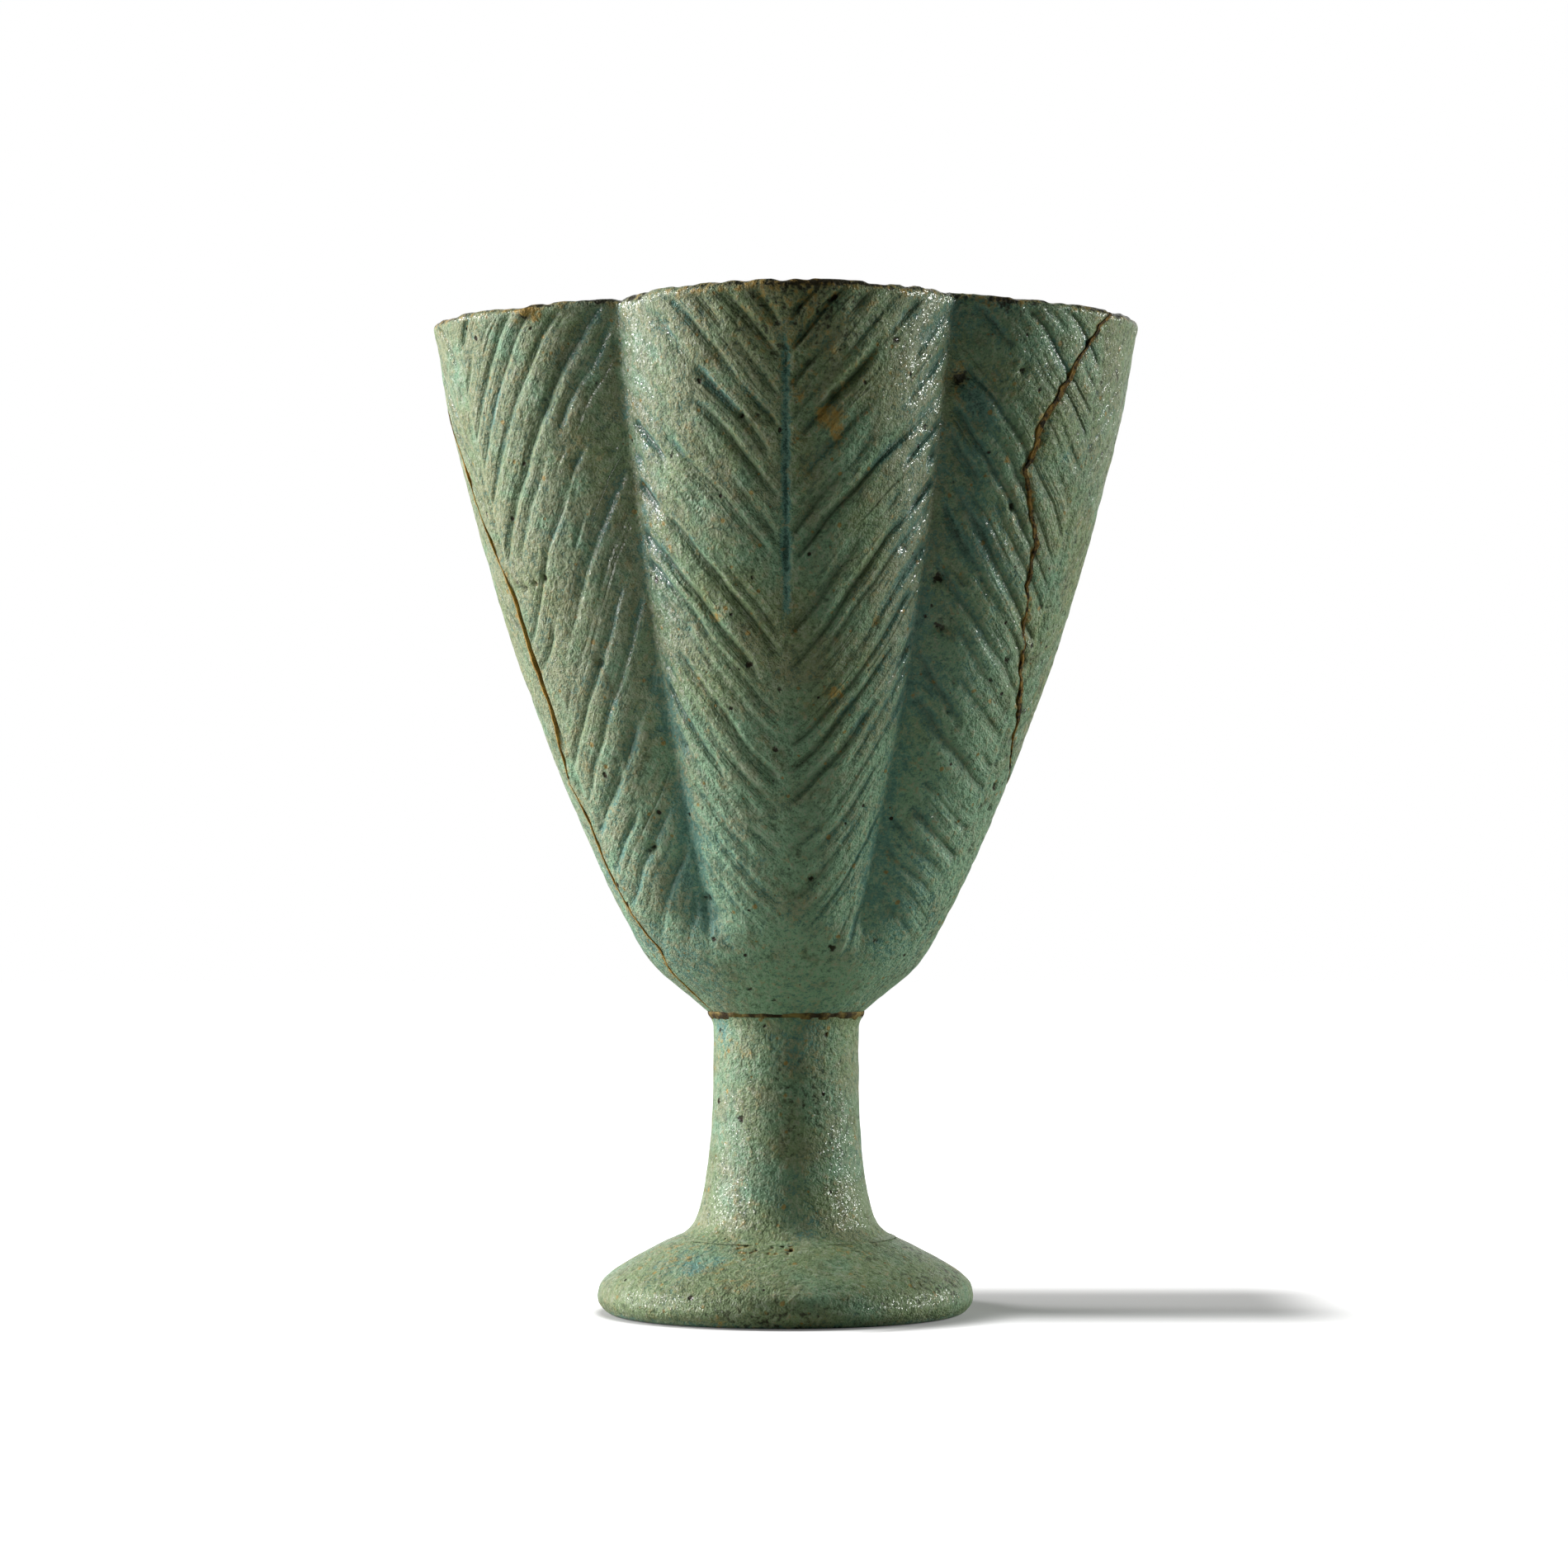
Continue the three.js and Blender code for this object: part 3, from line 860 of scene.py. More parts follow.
    # Burst bubbles, stains, pools and dark patches: share of the height, azimuth, reach in mm, amount
    bubbles: Spots = (
        (0.495, -42.1, 0.55, 1.0), (0.6, -55.5, 0.45, 0.9), (0.605, -52.6, 0.4, 0.8), (0.61, -49.9, 0.45, 0.6),
        (0.682, -38.4, 0.6, 0.35), (0.814, -4.3, 0.3, 0.8), (0.815, -6.9, 0.3, 0.8), (0.809, 4.8, 0.35, 0.8),
        (0.78, 6.4, 0.35, 0.5), (0.845, 7.5, 0.35, 0.8), (0.902, 8.2, 0.4, 0.6), (0.945, -18.7, 0.3, 0.7),
        (0.886, -20.9, 0.3, 0.6), (0.81, 25.0, 0.45, 0.6), (0.79, 17.5, 0.35, 0.5), (0.646, 22.6, 0.5, 0.5),
        (0.611, 32.4, 0.6, 0.9), (0.882, 31.6, 1.0, 1.2), (0.379, -26.1, 0.5, 0.8), (0.164, -28.8, 0.6, 0.9),
        (0.237, -41.2, 0.6, 0.9), (0.081, -4.6, 0.45, 0.9), (0.192, 7.7, 0.5, 0.8), (0.094, 17.9, 0.5, 0.8),
        (0.293, 63.7, 0.55, 0.9), (0.326, 61.0, 0.4, 0.8), (0.542, 34.0, 0.75, 0.9), (0.467, 39.2, 0.4, 0.7),
        (0.541, 18.3, 0.4, 0.6), (0.479, 17.7, 0.4, 0.6), (0.539, -19.8, 0.5, 0.5), (0.893, 41.3, 0.4, 0.8),
        (0.901, 39.6, 0.4, 0.6), (0.707, 43.5, 0.4, 0.9), (0.426, 39.5, 0.4, 0.7), (0.5, 50.0, 0.4, 0.7),
    )
    ochre_stains: Spots = (
        (0.807, 7.1, 1.4, 1.2), (0.817, 6.2, 0.9, 0.9), (0.79, 8.2, 0.8, 0.9), (0.844, 1.7, 0.9, 0.7),
        (0.451, 9.8, 1.2, 1.1), (0.552, -13.2, 0.8, 0.7), (0.77, 40.8, 0.4, 1.2), (0.981, -43.4, 1.6, 1.0),
        (0.882, 31.6, 1.9, 0.5), (0.479, 17.7, 0.7, 0.5), (0.541, 18.3, 0.7, 0.5), (0.97, 2.0, 9.0, 0.3),
    )
    teal_pools: Spots = (
        (0.862, 33.5, 1.4, 0.7), (0.84, 35.5, 1.2, 0.6), (0.82, 37.5, 1.0, 0.4), (0.702, -28.1, 0.8, 0.6),
        (0.769, -28.2, 0.8, 0.6), (0.72, -25.5, 0.7, 0.5), (0.79, -25.5, 0.7, 0.5), (0.42, -40.0, 1.6, 0.25),
        (0.78, 52.0, 0.9, 0.5),
    )
    dark_patches: Spots = ((0.985, 2.0, 8.0, 0.85), (0.99, 37.0, 3.0, 0.8), (0.981, -43.9, 1.0, 1.0))
    rim_lump: tuple[float, float, float, float] = (0.985, -44.2, 0.9, 0.4)

    # Form

    def peak(self, share: np.ndarray) -> np.ndarray:
        """Distance from the axis to the middle of a petal at a share of the height."""
        return self.seat_radius + (self.rim_radius - self.seat_radius) * curve_through(self.outline, share)

    def petal_arc(self, share: np.ndarray, inset: np.ndarray) -> tuple[np.ndarray, np.ndarray]:
        """Finds the arc of a petal, whose centre moves out as the petals open.

        Args:
            share: Share of the height.
            inset: Distance inside the outer surface.

        Returns:
            Distance of the arc's centre from the axis, and its radius less the inset.
        """
        peak = self.peak(share)
        centre = peak * self.offset_share * smoothstep(share, self.petal_start, self.petal_full)
        return centre, peak - centre - inset

    def radius(self, share: np.ndarray, azimuth: np.ndarray, inset: np.ndarray) -> np.ndarray:
        """Distance from the axis to the petalled surface.

        The ray meets the arc of its own petal and that of the next. Next to a crease the two are joined
        by a smooth maximum, which fills the crease by a quarter of its rounding.

        Args:
            share: Share of the height.
            azimuth: Degrees.
            inset: Distance inside the outer surface.

        Returns:
            Millimetres.
        """
        centre, arc = self.petal_arc(share, inset)
        off = np.abs(wrapped(azimuth, PETAL_PITCH))
        near, far = (arc_reach(centre, arc, np.radians(angle)) for angle in (off, PETAL_PITCH - off))
        rounding = self.crease_round * smoothstep(share, self.petal_start, 2 * self.petal_full) + 1e-6
        close = np.maximum(rounding - np.abs(near - far), 0) / rounding
        return np.maximum(near, far) + close ** 2 * rounding / 4

    def rows(self, outer: int, inner: int) -> Rows:
        """Lays out the rings so that they are evenly spaced along the wall's section.

        Args:
            outer: Number of rings on the outer wall.
            inner: Number of rings on the inner wall and floor.

        Returns:
            The rings from the socket's roof, over the rim, to the middle of the floor.
        """
        rim_round = self.wall / 2
        shoulder = 1 - rim_round / self.height
        fine = np.linspace(0, 1, 4000)
        climb = fine ** 2 * shoulder
        run = run_along(climb * self.height, self.peak(climb))
        outer_share = np.interp(np.linspace(0, run[-1], outer), run, climb)

        start = self.core_radius / (self.peak(np.array(self.floor / self.height)) - self.wall)
        lowest = self.floor_round * (1 - np.sqrt(1 - start ** 2))
        rise = lowest + (self.height * shoulder - self.floor - lowest) * fine ** 3
        inner_closing = np.sqrt(1 - np.maximum(0, 1 - rise / self.floor_round) ** 2)
        run = run_along(rise, (self.peak((self.floor + rise) / self.height) - self.wall) * inner_closing)
        even = np.linspace(run[-1], 0, inner)

        turn = np.linspace(0, np.pi, 15)[1:-1]
        socket_r = np.r_[np.linspace(self.core_radius, self.socket_radius, 4), self.socket_radius,
                         self.socket_radius, np.linspace(self.socket_radius, self.seat_radius, 6)[1:-1]]
        socket_z = np.r_[np.full(4, self.socket_roof_z), (self.socket_roof_z + self.seat_z) / 2,
                         np.full(5, self.seat_z)]
        hidden = len(socket_r)
        z = np.r_[socket_z, self.seat_z + outer_share * self.height,
                  self.seat_z + self.height - rim_round * (1 - np.sin(turn)),
                  self.seat_z + self.floor + np.interp(even, run, rise)]
        return Rows(
            z=z, share=(z - self.seat_z) / self.height,
            plain=np.r_[socket_r, np.zeros(outer + len(turn) + inner)],
            inset=np.r_[np.zeros(hidden + outer), rim_round * (1 - np.cos(turn)), np.full(inner, self.wall)],
            closing=np.r_[np.ones(hidden + outer + len(turn)), np.interp(even, run, inner_closing)],
            outside=np.r_[np.ones(hidden + outer), 0.5 + 0.5 * np.cos(turn), np.zeros(inner)],
            relief=np.r_[np.zeros(hidden), smoothstep(outer_share, 0.0, 0.03), np.ones(len(turn) + inner)],
            crest=hidden + outer + len(turn) // 2)

    def ring_points(self, rows: Rows, azimuth: np.ndarray) -> np.ndarray:
        """Places the unbroken cup's rings at their plain radius, or at the petals' less what closes them.

        Args:
            rows: The rings.
            azimuth: Degrees, rows by columns.

        Returns:
            Points in mm, rows by columns by 3.
        """
        petalled = self.radius(rows.share[:, None], azimuth, rows.inset[:, None]) * rows.closing[:, None]
        radius = np.where(rows.plain[:, None] > 0, rows.plain[:, None], petalled)
        return polar(radius, azimuth, rows.z[:, None])

    def surface_point(self, share: float, azimuth: float) -> np.ndarray:
        """The point of the outer surface at a share of the height and an azimuth."""
        return polar(self.radius(np.array(share), azimuth, 0.0), azimuth, self.seat_z + share * self.height)

    # Relief

    def veins(self, share: np.ndarray, azimuth: np.ndarray) -> SimpleNamespace:
        """Works out the carved veins and the place of each point on its petal.

        With s the arc length from the midrib and h the depth below the rim, a vein keeps
        h + slope (sqrt(s² + q²) - q + curve s² / half + hook |s|³ / half²) constant. That depth, less
        the first vein's, divided by a pitch that changes linearly down the petal and integrated,
        numbers the veins.

        Args:
            share: Share of the height, rows by columns.
            azimuth: Degrees, rows by columns.

        Returns:
            Arrays by name: number, aside (mm from the nearest vein, more to the right of it), pitch
            (across the veins, less than 0 left of the midrib), strength, hatch (of the fine strokes
            between the veins), midrib, pool (dark glaze in it), edge (mm from the crease) and below (mm
            below the rim).
        """
        index = np.round(azimuth / PETAL_PITCH).astype(int) % 6
        below = (1 - share) * self.height
        low = smoothstep(below, *self.low_petal)
        centre, arc = self.petal_arc(share, 0.0)

        def own(size: str) -> np.ndarray:
            """A size of each point's own petal."""
            return np.array([getattr(petal, size) for petal in self.petals], float)[index]

        def lowered(size: str) -> np.ndarray:
            """A size that changes from the rim to low on the petal."""
            return own(size)[..., 0] * (1 - low) + own(size)[..., 1] * low

        def along(turn: np.ndarray) -> np.ndarray:
            """Arc length from the petal's middle to a ray at this many radians from it."""
            return arc * np.arcsin(np.clip(arc_reach(centre, arc, turn) * np.sin(turn) / arc, -1, 1))

        half = along(np.radians(PETAL_PITCH / 2))
        from_middle = along(np.radians(wrapped(azimuth, PETAL_PITCH)))
        edge = half - np.abs(from_middle)
        s = from_middle - own("offset") * half / self.half_at_rim
        flat, side = np.abs(s), np.where(s < 0, -1.0, 1.0)
        local = np.stack([s, below, own("seed") * 40.0], axis=-1)
        wave, fine = Unevenness(Seed.VEIN_WAVE), Unevenness(Seed.VEIN_TREMOR)

        slope, top_pitch = lowered("slope"), own("top_pitch")
        q = own("rounding") * low + 0.3
        hook = own("hook") * low * (s > 0)
        fall = below + slope * (np.sqrt(flat ** 2 + q ** 2) - q + lowered("curve") * flat ** 2 / half
                                + hook * flat ** 3 / half ** 2)
        fall = fall + (1 + own("wild")) * (0.8 * wave.at(local, 14.0) + 0.3 * fine.at(local, 4.0))
        depth = fall - own("first")
        change = (own("low_pitch") - top_pitch - 1e-4) / self.pitch_run
        number = np.log(np.maximum(1 + change * depth / top_pitch, 0.05)) / change
        number = number + 0.35 * wave.at(np.stack([number, own("seed") * 9.0, side * 5.0], axis=-1), 1.4)
        pitch = side * (top_pitch + change * depth) / np.sqrt(1 + slope ** 2)

        draws = np.random.default_rng(Seed.VEIN_STROKES).uniform((-1, -1, 0.4), (1, 1, 1.2), (4096, 3))

        def own_draw(stroke: np.ndarray) -> np.ndarray:
            """A stroke's own shift, turn and depth, each in the last axis."""
            return draws[(stroke * 7 + own("seed").astype(int) * 131 + (side > 0) * 59) % 4096]

        def fading(stroke: np.ndarray, rarity: float | np.ndarray) -> np.ndarray:
            """How deep a stroke is along its length: it fades out where its own noise is low."""
            path = np.stack([stroke * 13.7, flat, own("seed") * 40.0], axis=-1)
            return own_draw(stroke)[..., 2] * smoothstep(
                wave.at(path, 6.0) + 0.5 * fine.at(path, 2.2) - rarity, 0.0, 0.8)

        vein = np.round(number).astype(int)
        shift, turned, _ = np.moveaxis(own_draw(vein), -1, 0)
        number = number + self.stroke_shift * shift + self.stroke_turn * turned * (flat / half - 0.5)

        # Strokes end at the petal's edges and midrib, under the rim and above the petal's foot
        band = np.where(s < 0, own("left_band"), own("right_band"))
        band = band + own("corner") * (1 - smoothstep(below, 6.0, 17.0)) * (s < 0)
        kept = smoothstep(edge, 0.3 * band, 1.3 * band + 0.5) * smoothstep(flat, 0.2, 1.6)
        kept = kept * smoothstep(below, *self.vein_top) * (1 - smoothstep(below, *self.vein_foot))
        hatch = fading(np.floor(number).astype(int) + 900, -0.15) * kept * smoothstep(flat, 1.0, 5.0)
        hatch = hatch * (1 - own("hatch_loss") * smoothstep(below, 20.0, 34.0) * (s < 0))
        strength = fading(vein, 0.5 * own("wild") - 0.8) * kept * smoothstep(depth, -1.6, -0.4)
        strength = strength * own("depth") / self.carving
        strength = strength * (1 - own("low_loss") * smoothstep(below, 26.0, 44.0))
        strength = strength * (1 - own("right_loss") * smoothstep(s, -1.0, 1.0))
        midrib_top, midrib_foot = np.moveaxis(own("midrib"), -1, 0)
        midrib = bell(s, 0.0, 0.5) * (0.85 + 0.3 * fine.at(local, 3.0))
        midrib = midrib * smoothstep(below - midrib_top, 0.0, 5.0)
        midrib = midrib * (1 - smoothstep(below - midrib_foot, -8.0, 2.0))
        return SimpleNamespace(
            number=number, pitch=pitch, strength=np.clip(strength, 0, 1.5), hatch=np.clip(hatch, 0, 1),
            midrib=midrib, pool=midrib * own("teal") * (0.6 + 0.5 * smoothstep(below, 12.0, 22.0)), edge=edge,
            below=below, aside=(number - np.round(number)) * pitch)

    def groove_depth(self, veins: SimpleNamespace) -> np.ndarray:
        """Depth in mm of the carved grooves: a bell about each vein, with its right side the steeper."""
        across = bell(veins.aside, 0.0, np.where(veins.aside < 0, *self.groove_walls))
        return self.carving * veins.strength * across + self.midrib_depth * veins.midrib

    def spots(self, points: np.ndarray, table: Spots) -> np.ndarray:
        """Adds up the soft spots of a table at their places on the cup."""
        return sum(amount * spot(points, self.surface_point(share, azimuth), reach)
                   for share, azimuth, reach, amount in table)

    def wear_rim(self, rows: Rows, azimuth: np.ndarray, smooth: np.ndarray, points: np.ndarray) -> None:
        """Lowers points near the rim by the table of wear at their azimuth, and by small chips.

        Args:
            rows: The rings.
            azimuth: Degrees, rows by columns.
            smooth: The unworn surface in mm.
            points: The points that are lowered.
        """
        share = rows.share[:, None]
        worn_down = line_through(self.rim_wear, wrapped(azimuth, 360.0)) * smoothstep(share, 0.94, 1.0)
        chips = np.maximum(Unevenness(Seed.CUP_CHIPS).at(smooth + 20.0, 1.4) + 0.1, 0)
        points[..., 2] -= (worn_down + 0.3 * smoothstep(share, *self.rim_band) * chips) * rows.relief[:, None]

    def dress(self, rows: Rows, azimuth: np.ndarray, edges: np.ndarray, grime: np.ndarray
              ) -> tuple[np.ndarray, Marks]:
        """Gives a sherd's rings their relief and the marks that the glaze reads.

        Args:
            rows: The rings.
            azimuth: Degrees, rows by columns.
            edges: Distance in mm to the nearest break, rows by columns.
            grime: How much dirt that break's edge holds, rows by columns.

        Returns:
            Points in mm, rows by columns by 3, and marks by name.
        """
        smooth = self.ring_points(rows, azimuth)
        share = np.broadcast_to(rows.share[:, None], azimuth.shape)
        outside, chips = rows.outside[:, None], Unevenness(Seed.CUP_CHIPS)
        ground = SimpleNamespace(
            smooth=smooth, share=share, outside=outside, edges=edges, grime=grime, turn=wrapped(azimuth, 360.0),
            veins=self.veins(np.clip(share, 0, 1), azimuth), near_rim=smoothstep(share, *self.rim_band),
            clay=Unevenness(Seed.CUP_CLAY), fine=Unevenness(Seed.CUP_GRAIN), chips=chips,
            pits=self.spots(smooth, self.bubbles) * outside * (1 + 0.5 * chips.at(smooth, 0.7)))
        lift = self.relief(ground) * rows.relief[:, None]
        points = smooth + grid_normals(smooth) * lift[..., None]
        self.wear_rim(rows, azimuth, smooth, points)
        return points, self.marks(ground)

    def relief(self, ground: SimpleNamespace) -> np.ndarray:
        """Adds up how far the surface moves along its normal.

        The clay's unevenness, the grooves, the midrib, burst bubbles, the worn rim and the chipped
        edges of the breaks all take it inwards of the CAD surface.

        Args:
            ground: The sherd's places and noises by name.

        Returns:
            Millimetres, rows by columns.
        """
        smooth, near_rim, fine, chips = ground.smooth, ground.near_rim, ground.fine, ground.chips
        lift = sum(amount * noise.at(smooth, grain) for noise, (amount, grain)
                   in zip((ground.clay, fine, chips), self.clay_relief))
        lift = lift - self.skin * (1 - 0.7 * near_rim)
        worn_rim = near_rim * np.maximum(chips.at(smooth, 4.0) - 0.1, 0) * 0.3
        worn_rim = worn_rim + near_rim * 0.05 * (1 + chips.at(smooth, 1.3))
        chipped = (0.04 + 0.3 * ground.grime) * bell(ground.edges, 0.0, 0.3) * (1 + fine.at(smooth, 1.2))
        lift = np.minimum(lift, -0.06) - self.groove_depth(ground.veins) * ground.outside
        lift = lift - self.pit_depth * ground.pits - worn_rim - chipped
        return lift + np.minimum(self.spots(smooth, (self.rim_lump,)), 0.3) * ground.outside

    def marks(self, ground: SimpleNamespace) -> Marks:
        """Works out where glaze pooled, where it is stained, dark or worn, where highlight, sheen or shade is
        painted, and where its grains glint.

        Args:
            ground: The sherd's places and noises by name.

        Returns:
            Marks by name.
        """
        smooth, share, outside, near_rim = ground.smooth, ground.share, ground.outside, ground.near_rim
        veins, clay, chips, edges = ground.veins, ground.clay, ground.chips, ground.edges

        # Glaze pools in the creases and the veins, and inside in patches; on the shaded right side the extra
        # teal is partly real pooling and partly painted shade
        low_part = smoothstep(veins.below, *self.crease_pools)
        foot_of_cup = smoothstep(veins.below, *self.plain_foot)
        low_glaze = 0.2 * smoothstep(veins.below, *self.foot_pools)
        low_glaze = low_glaze * (1 + 0.8 * clay.at(smooth + 70.0, 6.0))
        crease = bell(veins.edge, 0.0, 0.8 + 0.9 * low_part) * smoothstep(share, 0.07, 0.16)
        crease = crease * (0.1 + 0.4 * low_part + 0.35 * clay.at(smooth + 30.0, 4.0))
        patches = smoothstep(clay.at(smooth + 300.0, 7.0), 0.1, 0.8)
        in_vein = bell(veins.aside, 0.0, 0.5) * veins.strength
        in_vein = in_vein * np.maximum(0.8 * patches, 0.8 * bell(veins.edge, 0.0, 7.0))
        # Painted shade: the right side, which the lamps leave in shade, gets more dark teal and less tan
        shaded = bell(ground.turn, 38.0, 9.0) * outside
        pooled = (crease + veins.pool + in_vein + self.spots(smooth, self.teal_pools)) * outside
        pooled = pooled + 0.35 * (1 - outside) * patches + 0.3 * shaded * (1 + clay.at(smooth + 70.0, 6.0))

        # Ochre and dirt gather at the breaks and the rim, and glints beside the creases and veins
        stained = self.spots(smooth, self.ochre_stains) * outside + 0.5 * bell(edges, 0.0, 0.5)
        stained = stained + near_rim * (0.45 + 0.35 * chips.at(smooth + 90.0, 5.0))
        dark = (ground.pits + 0.6 * self.spots(smooth, self.dark_patches)) * outside
        dark = dark + ground.grime * bell(edges, 0.0, 0.3)
        dark = dark + near_rim * smoothstep(share, 0.983, 0.996) * (0.6 + 0.5 * chips.at(smooth, 2.5))
        frit = 0.15 + bell(veins.edge, 2.0, 2.8) * smoothstep(share, 0.35, 0.6) * outside
        frit = frit + 0.8 * in_vein * smoothstep(share, 0.2, 0.4) + 0.4 * near_rim
        frit = frit + 0.3 * clay.at(smooth + 500.0, 12.0)
        tones = {"dark": dark, "pooled": low_glaze, "frit": frit, "olive": -0.95 * foot_of_cup,
                 "rubbed": -0.02 * foot_of_cup - 0.08 * shaded}
        for zone in self.zones:
            here = bell(ground.turn, zone.azimuth, zone.reach) * smoothstep(veins.below, zone.starts, zone.full)
            here = here if zone.inside else here * outside
            tones = {mark: tone + getattr(zone, mark) * here for mark, tone in tones.items()}
        pooled = np.minimum(pooled + tones["pooled"] * outside, 1.3 - 0.75 * foot_of_cup)
        return {
            "vein": np.stack([veins.number, veins.pitch, veins.strength * outside], axis=-1),
            "patina": np.stack([np.clip(pooled, 0, 1.3), np.clip(stained, 0, 1.2),
                                np.clip(tones["dark"], 0, 1.2)], axis=-1),
            "hatch": veins.hatch * outside,
            "crust": np.stack([np.clip(tones["frit"], 0, 1), tones["olive"], tones["rubbed"]], axis=-1),
        }

    # Meshes

    def columns(self, knots: list[np.ndarray], counts: tuple[int, ...]) -> np.ndarray:
        """Spreads columns evenly between knots.

        Args:
            knots: Azimuths that each ring has.
            counts: Number of columns between each pair of knots.

        Returns:
            Azimuths, rows by columns.
        """
        parts = [low[:, None] + (high - low)[:, None] * np.arange(count) / count
                 for low, high, count in zip(knots, knots[1:], counts)]
        return np.concatenate([*parts, knots[-1][:, None]], axis=1)

    def shell(self, name: str, rows: Rows, points: np.ndarray, marks: Marks) -> bpy.types.Object:
        """Makes a closed shell: its rings, its core, and a strip of triangles down each end.

        Each end strip joins the outer line, up to the rim's top, to the inner line. An outer point
        looks to the nearest inner point, and the triangles fill in between these sights.

        Args:
            name: The piece's name.
            rows: The cup's rings.
            points: Rows by columns by 3.
            marks: Marks by name, rows by columns.

        Returns:
            The piece.
        """
        count, columns = points.shape[:2]
        faces = grid_quads(count, columns, round_rows=True).tolist()
        for column, order in ((0, -1), (columns - 1, 1)):
            line = points[:, column]
            outer, inner = line[:rows.crest + 1], line[:rows.crest:-1]
            apart = np.linalg.norm(outer[:, None] - inner[None], axis=-1)
            sight = np.maximum.accumulate(apart.argmin(axis=1))
            sight[0], sight[-1] = 0, len(inner) - 1
            outer_id = np.arange(rows.crest + 1) * columns + column
            inner_id = (count - 1 - np.arange(len(inner))) * columns + column
            steps = np.stack([outer_id[:-1], inner_id[sight[:-1]], outer_id[1:]], axis=-1)
            meets = np.searchsorted(sight, np.arange(len(inner) - 1), side="right")
            fans = np.stack([inner_id[:-1], inner_id[1:], outer_id[meets]], axis=-1)
            faces += np.concatenate([steps, fans])[:, ::order].tolist()
        flat = {mark: value.reshape(-1, *value.shape[2:]) for mark, value in marks.items()}
        return put_piece(name, points.reshape(-1, 3), faces, flat)

    def break_sides(self, rows: Rows, line: BreakLine, trim: float = 0.0) -> tuple[np.ndarray, np.ndarray]:
        """Finds both sides of a break on every ring.

        Args:
            rows: The cup's rings.
            line: The break.
            trim: Millimetres that each side is moved in.

        Returns:
            Azimuths of the lower and of the higher side.
        """
        radius = np.linalg.norm(self.ring_points(rows, np.zeros((len(rows.z), 1)))[:, 0, :2], axis=-1)
        middle, lean = line.azimuth(rows.share, radius), line.lean(rows.share, radius, trim)
        return middle - lean, middle + lean

    def between(self, rows: Rows, low: np.ndarray, high: np.ndarray, creases: tuple[float, ...],
                counts: tuple[int, ...]) -> list[np.ndarray]:
        """Knots between two edges: the creases, or an even spread close to the axis.

        Args:
            rows: The cup's rings.
            low: Azimuths of the first edge.
            high: Azimuths of the last edge.
            creases: Azimuths of the creases between them.
            counts: Number of columns between each pair of knots.

        Returns:
            Azimuths on every ring for each knot.
        """
        kept = smoothstep(np.where(rows.plain > 0, rows.plain, 10.0) * rows.closing, 2.0, 6.0)
        knots = [low]
        for crease, step in zip(creases, np.cumsum(counts) / sum(counts)):
            aimed = np.maximum(knots[-1] + 1.0, crease)
            knots.append((low + (high - low) * step) * (1 - kept) + aimed * kept)
        return [*knots, high]

    def sherd(self, name: str, rows: Rows, breaks: tuple[BreakLine, BreakLine], creases: tuple[float, ...],
              counts: tuple[int, ...]) -> bpy.types.Object:
        """Builds one sherd between its two breaks.

        Args:
            name: The piece's name.
            rows: The cup's rings.
            breaks: The breaks at the first and last column.
            creases: Azimuths of the creases between them.
            counts: Number of columns from break to crease to break.

        Returns:
            The sherd.
        """
        low, high = self.break_sides(rows, breaks[0])[1], self.break_sides(rows, breaks[1])[0]
        high = np.where(high < low, high + 360.0, high)
        azimuth = self.columns(self.between(rows, low, high, creases, counts), counts)
        radius = np.linalg.norm(self.ring_points(rows, azimuth)[..., :2], axis=-1)
        after, before = azimuth - azimuth[:, :1], azimuth[:, -1:] - azimuth
        grime = np.where(after < before, breaks[0].grime, breaks[1].grime)
        points, marks = self.dress(rows, azimuth, np.radians(np.minimum(after, before)) * radius, grime)
        return self.shell(name, rows, points, marks)

    def filling(self, name: str, rows: Rows, line: BreakLine) -> bpy.types.Object:
        """Builds the cement in a break, a little below the glaze and uneven along its face.

        Args:
            name: The piece's name.
            rows: The cup's rings.
            line: The break.

        Returns:
            The cement.
        """
        low, high = self.break_sides(rows, line, trim=0.01)
        azimuth = self.columns([low, high], (6,))
        smooth = self.ring_points(rows, azimuth)
        crumbs = Unevenness(line.seed + 5)
        sunk = line.recess * (0.9 + 0.5 * crumbs.at(smooth, 2.5)) + 0.05 * (1 + crumbs.at(smooth, 0.7))
        beside = (low + high)[:, None] / 2 + np.linspace(-3, 3, 7)
        normals = grid_normals(self.ring_points(rows, beside))
        points = smooth - normals * (sunk * rows.relief[:, None])[..., None]
        self.wear_rim(rows, azimuth, smooth, points)
        return self.shell(name, rows, points, {})

    def build(self) -> None:
        """Builds and dresses both sherds and both cement fillings."""
        breaks = (self.left_break, self.right_break)
        rows = self.rows(232, 60)
        front = self.sherd("front_petals", rows, breaks, (-30.0, 30.0), (95, 140, 72))
        settle(front, "front_cup_sherd", self.glaze)
        rows = self.rows(188, 52)
        back = self.sherd("back_petals", rows, breaks[::-1], (90.0, 150.0, 210.0, 270.0), (58, 95, 95, 95, 24))
        settle(back, "back_cup_sherd", self.glaze)
        for side, line, cement in zip(("left", "right"), breaks, self.cement):
            piece = self.filling(side + "_crack_cement", rows, line)
            settle(piece, side + "_break_cement", cement)


# Turned pieces under the cup


@dataclass
class Section:
    """The line that a turned piece sweeps: its radii and heights in mm, the azimuths of the columns,
    where it carries relief, and the smooth surface, rows by columns by 3.
    """

    radii: np.ndarray
    heights: np.ndarray
    azimuths: np.ndarray
    shown: np.ndarray
    smooth: np.ndarray


